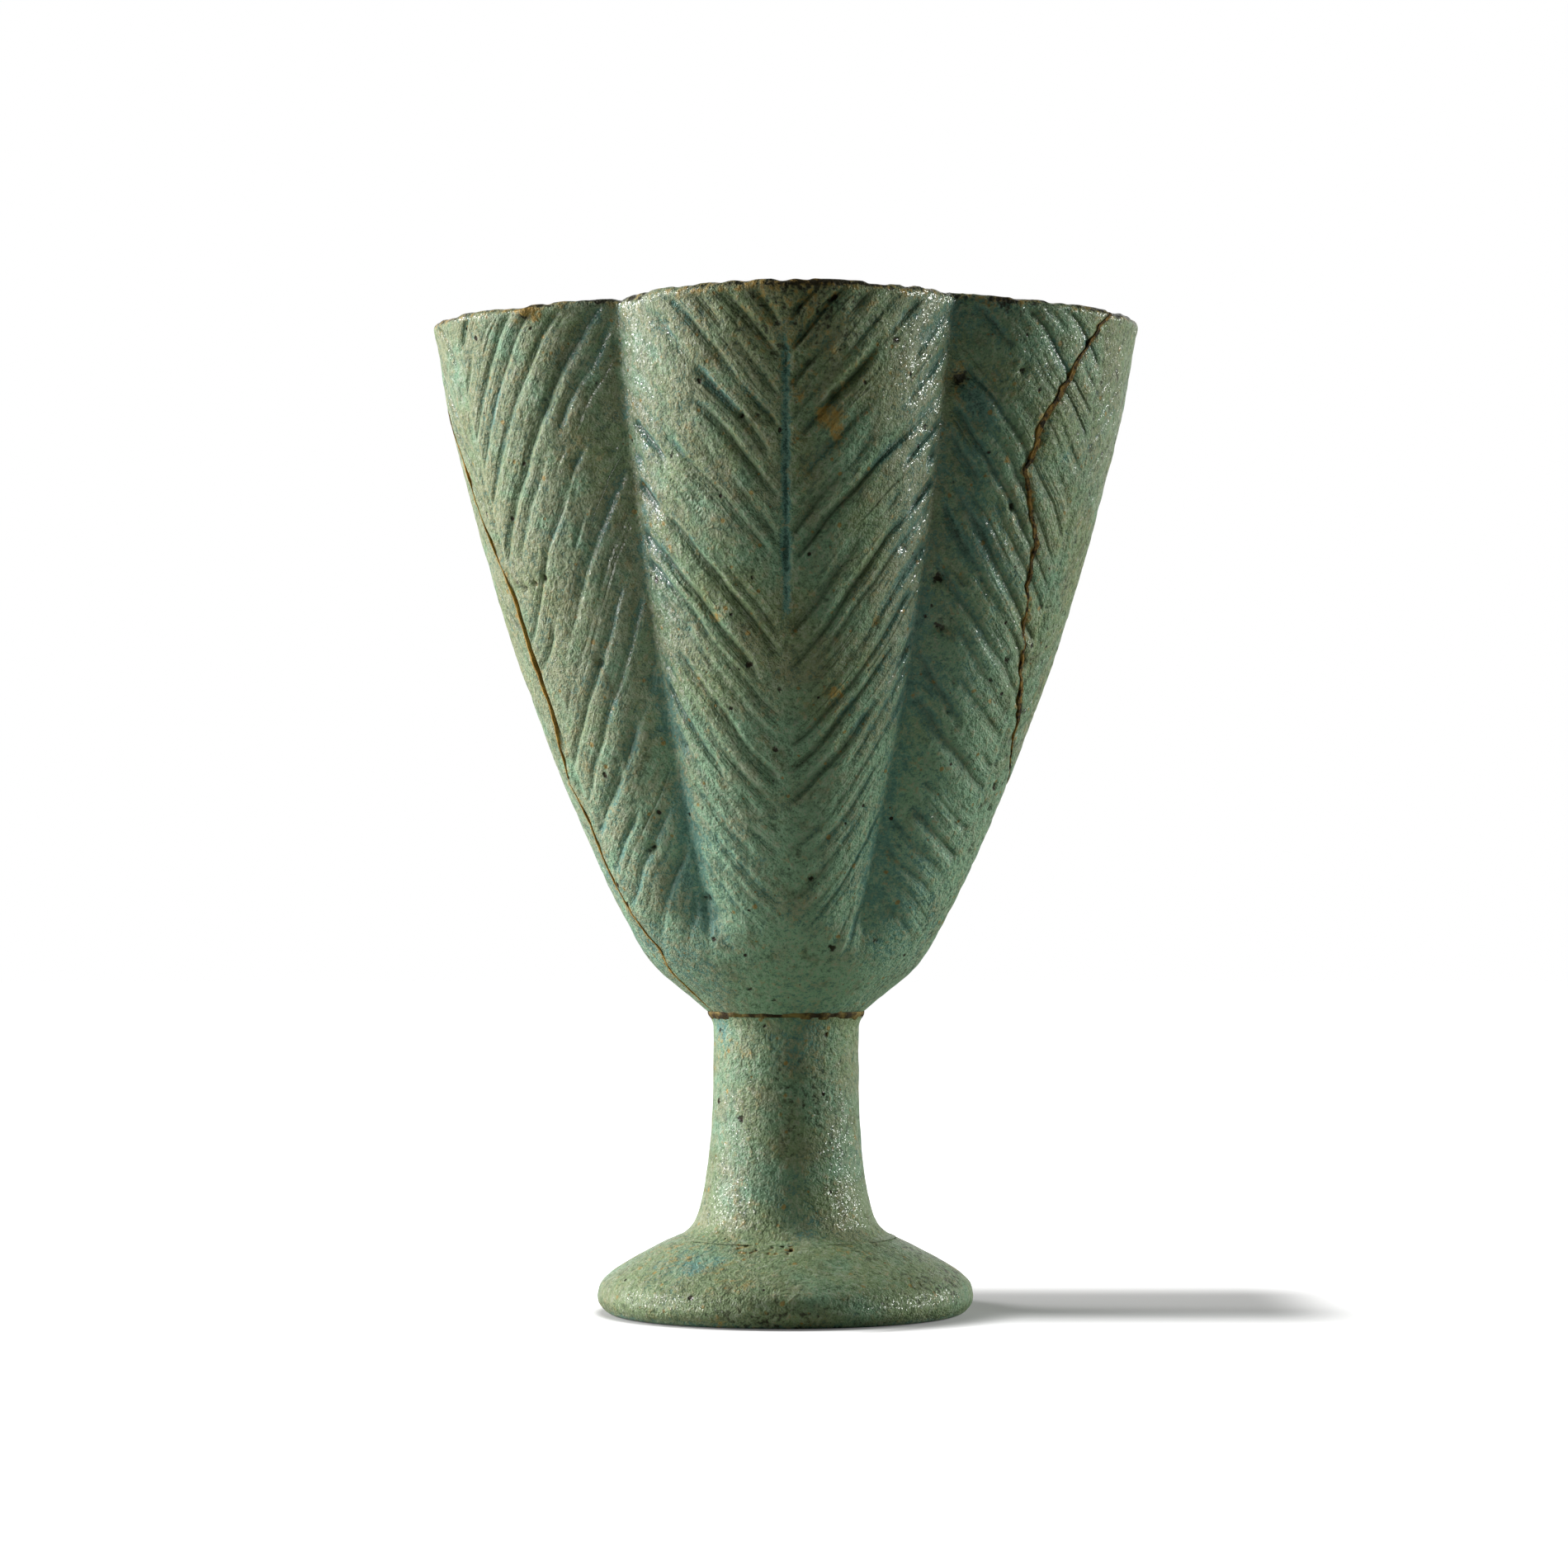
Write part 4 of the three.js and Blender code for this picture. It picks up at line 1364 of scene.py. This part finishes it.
@dataclass
class TurnedPiece:
    """A piece of revolution that was moulded and smoothed by hand, so no ring is quite round."""

    columns: int = 320
    tuck: float = 0.2
    sweep: Table = ((8.25, 14.95), (8.6, 14.2), (9.0, 13.3), (9.4, 12.4), (10.0, 11.65), (10.65, 11.1),
                    (12.0, 10.5), (14.0, 9.95), (16.0, 9.55), (19.0, 9.2), (24.0, 8.85), (28.0, 8.75),
                    (34.2, 8.75), (35.1, 9.0), (35.5, 9.25))

    def side(self, height: np.ndarray) -> np.ndarray:
        """Radius of the sweep that the foot, the lute and the stem share, at a height in mm."""
        low, high = self.sweep[0][0], self.sweep[-1][0]
        return curve_through(tuple(((z - low) / (high - low), r) for z, r in self.sweep),
                             (height - low) / (high - low))

    def hand_relief(self, smooth: np.ndarray) -> np.ndarray:
        """Unevenness in mm that the foot, the lute and the stem share, so it runs on over their seams."""
        clay, fine = Unevenness(Seed.TURNED_CLAY), Unevenness(Seed.TURNED_GRAIN)
        lift = 0.1 * clay.at(smooth, 8.0) + 0.04 * fine.at(smooth, 1.8)
        return lift - 0.06 * np.maximum(fine.at(smooth, 0.9), 0)

    def patches(self, points: np.ndarray, table: Patches) -> np.ndarray:
        """Adds up a table's soft patches of a radius, azimuth, height, reach in mm and amount each."""
        return sum(amount * spot(points, polar(radius, azimuth, height), reach)
                   for radius, azimuth, height, reach, amount in table)

    def section(self, corners: list[tuple[float, float, float]]) -> Section:
        """Spaces points along a section. A stretch spaced by less than 1 mm carries relief.

        Args:
            corners: Radius, height and, for the stretch that ends there, the spacing in mm.

        Returns:
            The section and the surface that it sweeps.
        """
        radii, heights, fine = [corners[0][0]], [corners[0][1]], []
        for (r0, z0, _), (r1, z1, spacing) in zip(corners, corners[1:]):
            steps = max(1, int(np.ceil(np.hypot(r1 - r0, z1 - z0) / spacing)))
            share = np.arange(1, steps + 1) / steps
            radii += (r0 + (r1 - r0) * share).tolist()
            heights += (z0 + (z1 - z0) * share).tolist()
            fine += [1.0 if spacing < 1 else 0.0] * steps
        radii, heights = np.array(radii), np.array(heights)
        azimuths = (np.arange(self.columns) * 360.0 / self.columns)[None, :]
        shown = np.maximum(np.r_[0.0, fine], np.r_[fine, 0.0])[:, None]
        return Section(radii, heights, azimuths, shown, polar(radii[:, None], azimuths, heights[:, None]))

    def directions(self, cut: Section) -> np.ndarray:
        """Works out a section's unit normals.

        Each comes from the steps before and after the point, and a step along a hidden stretch
        counts for nothing next to a shown one, so neighbouring pieces agree at their seam.

        Args:
            cut: The section.

        Returns:
            Radial and upward parts, points by 2.
        """
        step = np.stack([np.diff(cut.radii), np.diff(cut.heights)], axis=-1)
        step = step / np.maximum(np.linalg.norm(step, axis=-1, keepdims=True), 1e-9)
        step = step * (cut.shown[1:] * cut.shown[:-1] + 1e-4)
        tangent = np.concatenate([step[:1], step]) + np.concatenate([step, step[-1:]])
        normal = np.stack([tangent[:, 1], -tangent[:, 0]], axis=-1)
        return normal / np.maximum(np.linalg.norm(normal, axis=-1, keepdims=True), 1e-9)

    def spin(self, name: str, cut: Section, lift: np.ndarray, marks: Marks,
             ring: bool = False) -> bpy.types.Object:
        """Carries a section round the axis and moves it along its normals.

        Args:
            name: The piece's name.
            cut: The section, from the bottom's middle outwards and up.
            lift: Move along the normal in mm, rows by columns.
            marks: Marks by name, rows by columns.
            ring: Whether the section closes on itself instead of on the axis.

        Returns:
            The piece.
        """
        outward, upward = self.directions(cut).T
        points = polar(cut.radii[:, None] + outward[:, None] * lift, cut.azimuths,
                       cut.heights[:, None] + upward[:, None] * lift)
        rows, columns = points.shape[:2]
        faces = grid_quads(rows, columns, True, ring).tolist()
        flat = {mark: value.reshape(rows * columns, *value.shape[2:]) for mark, value in marks.items()}
        vertices = points.reshape(-1, 3)
        if not ring:
            c = np.arange(columns)
            after, last = (c + 1) % columns, (rows - 1) * columns
            faces += np.stack([np.full(columns, len(vertices)), after, c], axis=-1).tolist()
            faces += np.stack([np.full(columns, len(vertices) + 1), last + c, last + after], axis=-1).tolist()
            vertices = np.concatenate([vertices, [[0, 0, cut.heights[0]], [0, 0, cut.heights[-1]]]])
            flat = {mark: np.concatenate([value, value[:1], value[-1:]]) for mark, value in flat.items()}
        return put_piece(name, vertices, faces, flat, sharp_angle=22.0)

    def patina(self, shape: tuple[int, int], **tones: np.ndarray | float) -> Marks:
        """Marks for the glaze on a piece without veins.

        Args:
            shape: Rows and columns.
            tones: What each part of the marks is, where it isn't 0.

        Returns:
            Marks by name.
        """
        none = np.zeros(shape)
        pooled, stained, dark, frit, olive, rubbed = (
            none + tones.get(part, 0.0) for part in ("pooled", "stained", "dark", "frit", "olive", "rubbed"))
        return {
            "vein": np.stack([none, none + 5.0, none], axis=-1),
            "hatch": none,
            "patina": np.stack([pooled, stained, np.clip(dark, 0, 1)], axis=-1),
            "crust": np.stack([np.clip(frit, 0, 1), olive, rubbed], axis=-1),
        }


@dataclass
class Stem(TurnedPiece):
    """The waisted stem with its two tenons, each given by its radius and length."""

    glaze: bpy.types.Material = None
    base_z: float = 9.4
    top_z: float = 35.5
    core_radius: float = 0.4
    foot_tenon: tuple[float, float] = (6.0, 3.5)
    cup_tenon: tuple[float, float] = (4.0, 3.6)
    pools: Patches = ((8.7, -62, 34.0, 2.0, 0.8), (8.7, 10, 33.0, 4.0, 0.35))
    dirt: Patches = ((8.7, 12, 26.0, 6.0, 0.3),)
    glints: Patches = ((8.7, 40, 16.0, 9.0, 1.0), (8.7, -45, 22.0, 8.0, 1.0))

    def build(self) -> None:
        """Builds and dresses the stem."""
        heights = self.base_z + (self.top_z - self.base_z) * np.linspace(0, 1, 76) ** 1.2
        (foot_r, foot_l), (cup_r, cup_l) = self.foot_tenon, self.cup_tenon
        corners = [(self.core_radius, self.base_z - foot_l, 3), (foot_r, self.base_z - foot_l, 3),
                   (foot_r, self.base_z, 2), (self.side(heights[0]), self.base_z, 2)]
        corners += [(r, z, 0.5) for r, z in zip(self.side(heights[1:]), heights[1:])]
        corners += [(cup_r, self.top_z, 2), (cup_r, self.top_z + cup_l, 2),
                    (self.core_radius, self.top_z + cup_l, 3)]
        cut = self.section(corners)
        smooth = cut.smooth
        clay, fine = Unevenness(Seed.TURNED_CLAY), Unevenness(Seed.TURNED_GRAIN)
        pooled = self.patches(smooth, self.pools) + 0.25 * smoothstep(clay.at(smooth + 70.0, 6.0), 0.1, 0.8)
        stained = 0.25 * smoothstep(clay.at(smooth + 140.0, 4.0), 0.35, 0.9)
        dark = self.patches(smooth, self.dirt) * (0.6 + 0.6 * fine.at(smooth, 3.0))
        glints = np.maximum(*(self.patches(smooth, (glint,)) for glint in self.glints))
        frit = 0.18 + 0.35 * glints + 0.25 * clay.at(smooth, 7.0)
        olive = 0.6 * (1 - smoothstep(smooth[..., 2], 10.0, 18.0))
        marks = self.patina(pooled.shape, pooled=pooled, stained=stained, dark=dark, frit=frit, olive=olive)
        lift = self.hand_relief(smooth) * cut.shown
        settle(self.spin("moulded_stem", cut, lift, marks), "stem", self.glaze)


@dataclass
class Foot(TurnedPiece):
    """The domed foot with the socket that takes the stem."""

    columns: int = 440
    glaze: bpy.types.Material = None
    radius: float = 22.7
    height: float = 9.0
    edge_height: float = 2.0
    edge_round: float = 2.1
    seat_radius: float = 12.4
    socket_radius: float = 6.3
    socket_floor: float = 5.6
    core_radius: float = 0.6
    dome: Table = ((0, 1), (0.2, 0.97), (0.38, 0.86), (0.55, 0.69), (0.72, 0.48), (0.893, 0.2476), (1, 0.0874))
    skin: float = 0.1
    pools: Patches = ((17.5, -36, 6.0, 2.0, 0.8), (16.0, -27, 6.9, 1.4, 0.6))
    # Burst bubbles in front, along the seam to the stem: lowest and highest azimuth and height
    bubble_count: int = 16
    bubble_from: tuple[float, float] = (-29, 8.2)
    bubble_to: tuple[float, float] = (3, 9.0)
    bubble_reach: float = 0.28
    bubble_depth: float = 0.2

    def build(self) -> None:
        """Builds and dresses the foot."""
        turn = np.linspace(0, np.pi / 2, 9)
        edge_r = self.radius - self.edge_round * (1 - np.sin(turn))
        edge_z = self.edge_height * (1 - np.cos(turn))
        shares = np.linspace(0, 1, 40)[1:]
        dome_r = self.seat_radius + (self.radius - self.seat_radius) * curve_through(self.dome, shares)
        dome_z = self.edge_height + (self.height - self.edge_height) * shares
        dome_r = np.where(dome_z > self.sweep[0][0], self.side(dome_z), dome_r)
        corners = [(self.core_radius, 0.0, 3), (edge_r[0], 0.0, 2.5)]
        corners += [(r, z, 0.4) for r, z in zip(np.r_[edge_r[1:], dome_r], np.r_[edge_z[1:], dome_z])]
        corners += [(dome_r[-1] - self.tuck, self.height - self.tuck, 2), (dome_r[-1] - 0.7, self.height, 2),
                    (self.socket_radius, self.height, 2), (self.socket_radius, self.socket_floor, 2),
                    (self.core_radius, self.socket_floor, 3)]
        cut = self.section(corners)
        smooth = cut.smooth
        clay = Unevenness(Seed.FOOT_CLAY)
        skin = self.skin * (1 - smoothstep(cut.heights, 6.0, 8.5))[:, None]
        lift = (self.hand_relief(smooth) - skin) * cut.shown * smoothstep(cut.heights, 0.0, 0.6)[:, None]

        pooled = self.patches(smooth, self.pools) + 0.25 * smoothstep(clay.at(smooth + 70.0, 6.0), 0.2, 0.9)
        pooled = pooled + 0.5 * (1 - smoothstep(smooth[..., 2], 0.0, 0.9))
        stained = 0.4 * smoothstep(clay.at(smooth + 140.0, 4.0), 0.1, 0.9)
        front = bell(wrapped(cut.azimuths, 360.0), 0.0, 22.0)
        right = bell(cut.azimuths, 75.0, 40.0)
        low_edge = 1 - smoothstep(smooth[..., 2], 1.0, 4.5)
        # Painted shade: the foot is darker on its low front edge, which faces forward and down
        dark = 0.4 * front * low_edge * (0.7 + 0.7 * clay.at(smooth + 210.0, 4.0))
        dark = dark + 0.3 * right * (0.8 + 0.8 * clay.at(smooth + 60.0, 5.0))
        draw = np.random.default_rng(Seed.FOOT_BUBBLES)
        for azimuth, height in draw.uniform(self.bubble_from, self.bubble_to, (self.bubble_count, 2)):
            hit = spot(smooth, polar(self.side(height), azimuth, height), self.bubble_reach)
            lift, stained, dark = lift - self.bubble_depth * hit, stained + 0.9 * hit, dark + hit
        frit = 0.22 + 0.4 * low_edge * (1 - front) + 0.3 * clay.at(smooth, 5.0)
        marks = self.patina(pooled.shape, pooled=pooled, stained=stained, dark=dark, frit=frit, olive=0.55,
                            rubbed=-0.03)
        settle(self.spin("moulded_foot", cut, lift, marks), "foot", self.glaze)


@dataclass
class BeddedJoint(TurnedPiece):
    """A thin washer of filling round a tenon, squeezed out unevenly at its edge."""

    name: str = ""
    node: str = ""
    slot: Slot = Slot.CEMENT
    finish: bpy.types.Material = None
    inner_radius: float = 4.3
    outer_radius: float = 9.2
    bottom_z: float = 35.5
    top_z: float = 35.9
    bead: Table = ((8.9, 35.3), (9.1, 35.5), (9.26, 35.7), (9.36, 35.9), (9.36, 36.1))
    uneven: float = 0.2
    seed: int = 101

    def build(self) -> None:
        """Builds and dresses the washer."""
        flat_radius, (bead_r, bead_z) = self.outer_radius - 0.3, self.bead[-1]
        corners = [(self.inner_radius, self.bottom_z, 2), (flat_radius, self.bottom_z, 2)]
        corners += [(r, z, 0.12) for r, z in self.bead]
        corners += [(bead_r - self.tuck, bead_z - self.tuck, 2), (flat_radius, self.top_z, 2),
                    (self.inner_radius, self.top_z, 2)]
        cut = self.section(corners)
        crumbs = Unevenness(self.seed)
        squeezed = self.uneven * (1.2 * crumbs.at(cut.smooth, 2.8) + 0.8 * crumbs.at(cut.smooth, 0.9) + 0.25)
        lift = (squeezed if self.uneven else self.hand_relief(cut.smooth)) * cut.shown
        marks = self.patina(lift.shape, pooled=0.1, frit=0.25, olive=0.6)
        settle(self.spin(self.name, cut, lift, marks, ring=True), self.node, self.finish)


# Studio


@dataclass(frozen=True)
class SoftLamp:
    """A square soft box that faces the cup. At level 1 a white matt card at the cup shows white."""

    name: str
    azimuth: float
    elevation: float
    distance: float
    size: float
    level: float
    tint: tuple[float, float, float]
    aim: tuple[float, float, float] = (0.0, 0.0, 0.065)

    def place(self) -> None:
        """Adds the lamp. Its power is level times pi² times its distance squared."""
        lamp = bpy.data.lights.new(self.name, "AREA")
        lamp.shape = "SQUARE"
        lamp.size = self.size
        lamp.color = self.tint
        lamp.energy = self.level * np.pi ** 2 * self.distance ** 2
        holder = bpy.data.objects.new(self.name, lamp)
        bpy.context.scene.collection.objects.link(holder)
        rise = np.radians(self.elevation)
        away = polar(self.distance * np.cos(rise), self.azimuth, self.distance * np.sin(rise))
        holder.location = Vector(self.aim) + Vector(away)
        holder.rotation_euler = (Vector(self.aim) - holder.location).to_track_quat("-Z", "Y").to_euler()


@dataclass
class Studio:
    """A white sweep, two soft boxes, each with a hot spot, and the camera at the photograph's angle.

    shadow_lift: How much white the camera sees in the shadow.
    shadow_middle, shadow_width: The shadow's middle in y, and how far from it the shadow starts to fade
    and ends, in metres. shadow_reach: The same in x. shadow_clear, bare_reach: Distances from the axis
    round which the shadow stays, on the right and on the left.
    """

    floor_size: float = 4.0
    floor_drop: float = 0.00004
    floor_white: str = "#C0C0C0"
    floor_bounce: str = "#A0A49A"
    room_light: float = 0.02
    room_tint: str = "#F4FFF2"
    behind: tuple[float, float] = (0.7, 1.0)
    shadow_lift: float = 0.12
    shadow_middle: float = 0.011
    shadow_width: tuple[float, float] = (0.008, 0.032)
    shadow_reach: tuple[float, float] = (0.057, 0.074)
    shadow_clear: tuple[float, float] = (0.022, 0.03)
    bare_reach: tuple[float, float] = (0.0218, 0.024)
    bare_side: tuple[float, float] = (0.0, 0.02)
    camera_place: tuple[float, float, float] = (-0.0002, -0.51, 0.04965)
    camera_pitch: float = 1.545
    lens: float = 97.2
    sensor: float = 36.0
    clip: tuple[float, float] = (0.01, 20.0)
    lamps: tuple[SoftLamp, ...] = (
        SoftLamp("key_soft_box", -93, 11, 0.8, size=0.6, level=1.0, tint=(1.0, 0.975, 0.985)),
        SoftLamp("key_hot_spot", -99, 24, 0.8, size=0.2, level=0.74, tint=(1.0, 0.97, 0.98)),
        SoftLamp("side_soft_box", 104, 12, 0.9, size=0.5, level=0.165, tint=(0.97, 1.0, 0.96)),
        SoftLamp("side_hot_spot", 100, 18, 0.9, size=0.22, level=0.46, tint=(0.98, 1.0, 0.96)),
    )

    def build(self) -> None:
        """Builds the floor, the world, the lamps and the camera."""
        self.lay_floor()
        self.fill_world()
        for lamp in self.lamps:
            lamp.place()
        self.set_camera()

    def white_to_eye(self, tree: Tree, place: Socket) -> Socket:
        """1 for camera and transmission rays, and for glossy rays that go behind the chalice.

        Args:
            tree: The floor's or the world's node tree.
            place: Place or direction in the room.

        Returns:
            The share of white.
        """
        path = add_node(tree, "LightPath").node.outputs
        depth = add_node(tree, "SeparateXYZ", (place,), 1)
        back = add_node(tree, "MapRange", (depth, *self.behind), **SMOOTH)
        glossy = add_node(tree, "Math", (path["Is Glossy Ray"], back), operation="MULTIPLY")
        straight = add_node(tree, "Math", (path["Is Camera Ray"], path["Is Transmission Ray"]),
                            operation="MAXIMUM")
        return add_node(tree, "Math", (straight, glossy), operation="MAXIMUM")

    def lay_floor(self) -> None:
        """Lays the floor, which shows white but for the object's shadow near the object.

        The shadow is kept to the right of the foot, where it fades between two distances to the
        right and to both sides, and close round the foot everywhere else.
        """
        reach = self.floor_size / 2
        line = np.linspace(-reach, reach, 9)
        points = np.stack([*np.meshgrid(line, line), np.full((9, 9), -self.floor_drop)], axis=-1)
        floor = put_piece("studio_floor", points.reshape(-1, 3) / MM, grid_quads(9, 9).tolist(), {})
        finish, tree = new_finish("white_painted_floor")
        place = add_node(tree, "TexCoord", (), "Object")
        eye = self.white_to_eye(tree, place)
        tone = add_node(tree, "Mix", {0: eye, 6: linear(self.floor_bounce), 7: linear(self.floor_white)}, 2,
                        **COLOURS)
        card = add_node(tree, "BsdfDiffuse", (tone,))
        x, y = add_node(tree, "SeparateXYZ", (place,), slice(0, 2))
        length = add_node(tree, "VectorMath", (place,), "Value", operation="LENGTH")
        bare = add_node(tree, "MapRange", (length, *self.bare_reach), **SMOOTH)
        left = add_node(tree, "MapRange", (x, *self.bare_side, 1.0, 0.0), **SMOOTH)
        bare = add_node(tree, "Math", (bare, left), operation="MULTIPLY")
        across = add_node(tree, "Math", (y, self.shadow_middle), operation="SUBTRACT")
        across = add_node(tree, "Math", (across,), operation="ABSOLUTE")
        across = add_node(tree, "MapRange", (across, *self.shadow_width), **SMOOTH)
        clear = add_node(tree, "MapRange", (length, *self.shadow_clear), **SMOOTH)
        across = add_node(tree, "Math", (across, clear), operation="MULTIPLY")
        bare = add_node(tree, "Math", (bare, across), operation="MAXIMUM")
        far = add_node(tree, "MapRange", (x, *self.shadow_reach), **SMOOTH)
        bare = add_node(tree, "MapRange", (far, 0.0, 1.0, bare, 1.0))
        glow = add_node(tree, "MapRange", (bare, 0.0, 1.0, self.shadow_lift, 1.0))
        glow = add_node(tree, "Math", (glow, eye), operation="MULTIPLY")
        glow = add_node(tree, "Emission", (WHITE, glow))
        add_node(tree, "OutputMaterial", {"Surface": add_node(tree, "AddShader", (card, glow))})
        floor.data.materials.append(finish)

    def fill_world(self) -> None:
        """Fills the room with dim light, and shows it white to the camera."""
        world = bpy.data.worlds.new("studio_room")
        bpy.context.scene.world = world
        world.use_nodes = True
        tree = world.node_tree
        tree.nodes.clear()
        eye = self.white_to_eye(tree, add_node(tree, "TexCoord", (), "Generated"))
        level = add_node(tree, "MapRange", (eye, 0.0, 1.0, self.room_light, 1.0))
        tint = add_node(tree, "Mix", {0: eye, 6: linear(self.room_tint), 7: WHITE}, 2, **COLOURS)
        add_node(tree, "OutputWorld", {"Surface": add_node(tree, "Background", (tint, level))})

    def set_camera(self) -> None:
        """Sets the camera in front of the cup, level with its stem and turned slightly up."""
        camera = bpy.data.cameras.new("photo_camera")
        camera.lens = self.lens
        camera.sensor_width = self.sensor
        camera.clip_start, camera.clip_end = self.clip
        holder = bpy.data.objects.new("photo_camera", camera)
        bpy.context.scene.collection.objects.link(holder)
        holder.location = self.camera_place
        holder.rotation_euler = (np.radians(90 + self.camera_pitch), 0.0, 0.0)
        bpy.context.scene.camera = holder
        bpy.context.scene.view_settings.view_transform = "Standard"


def main() -> None:
    """Builds the chalice from the foot up, then the studio."""
    logging.basicConfig(level=logging.INFO, format="%(message)s")
    glaze = FaienceGlaze().make()
    slurry = FaienceGlaze(name="smoothed_faience_slurry").make()
    seat_cement = EarthFilling("aged_olive_cement", body="#A08A4E", dirt="#3E3018", mottle_size=2.2).make()
    left_cement = EarthFilling("aged_ochre_cement", body="#D2A552", dirt="#A07C3A").make()
    right_cement = EarthFilling("aged_brown_cement", body="#A07C38", dirt="#2C230C", mottle_size=1.1).make()
    Foot(glaze=glaze).build()
    BeddedJoint(name="foot_lute_ring", node="foot_lute", slot=Slot.SLURRY, finish=slurry, inner_radius=6.3,
                outer_radius=12.4, bottom_z=9.0, top_z=9.4, uneven=0.0,
                bead=((13.3, 9.0), (12.84, 9.2), (12.4, 9.4))).build()
    Stem(glaze=glaze).build()
    BeddedJoint(name="cup_seat_ring", node="cup_seat_cement", finish=seat_cement, seed=102).build()
    LotusCup(glaze=glaze, cement=(left_cement, right_cement)).build()
    Studio().build()


if __name__ == "__main__":
    main()
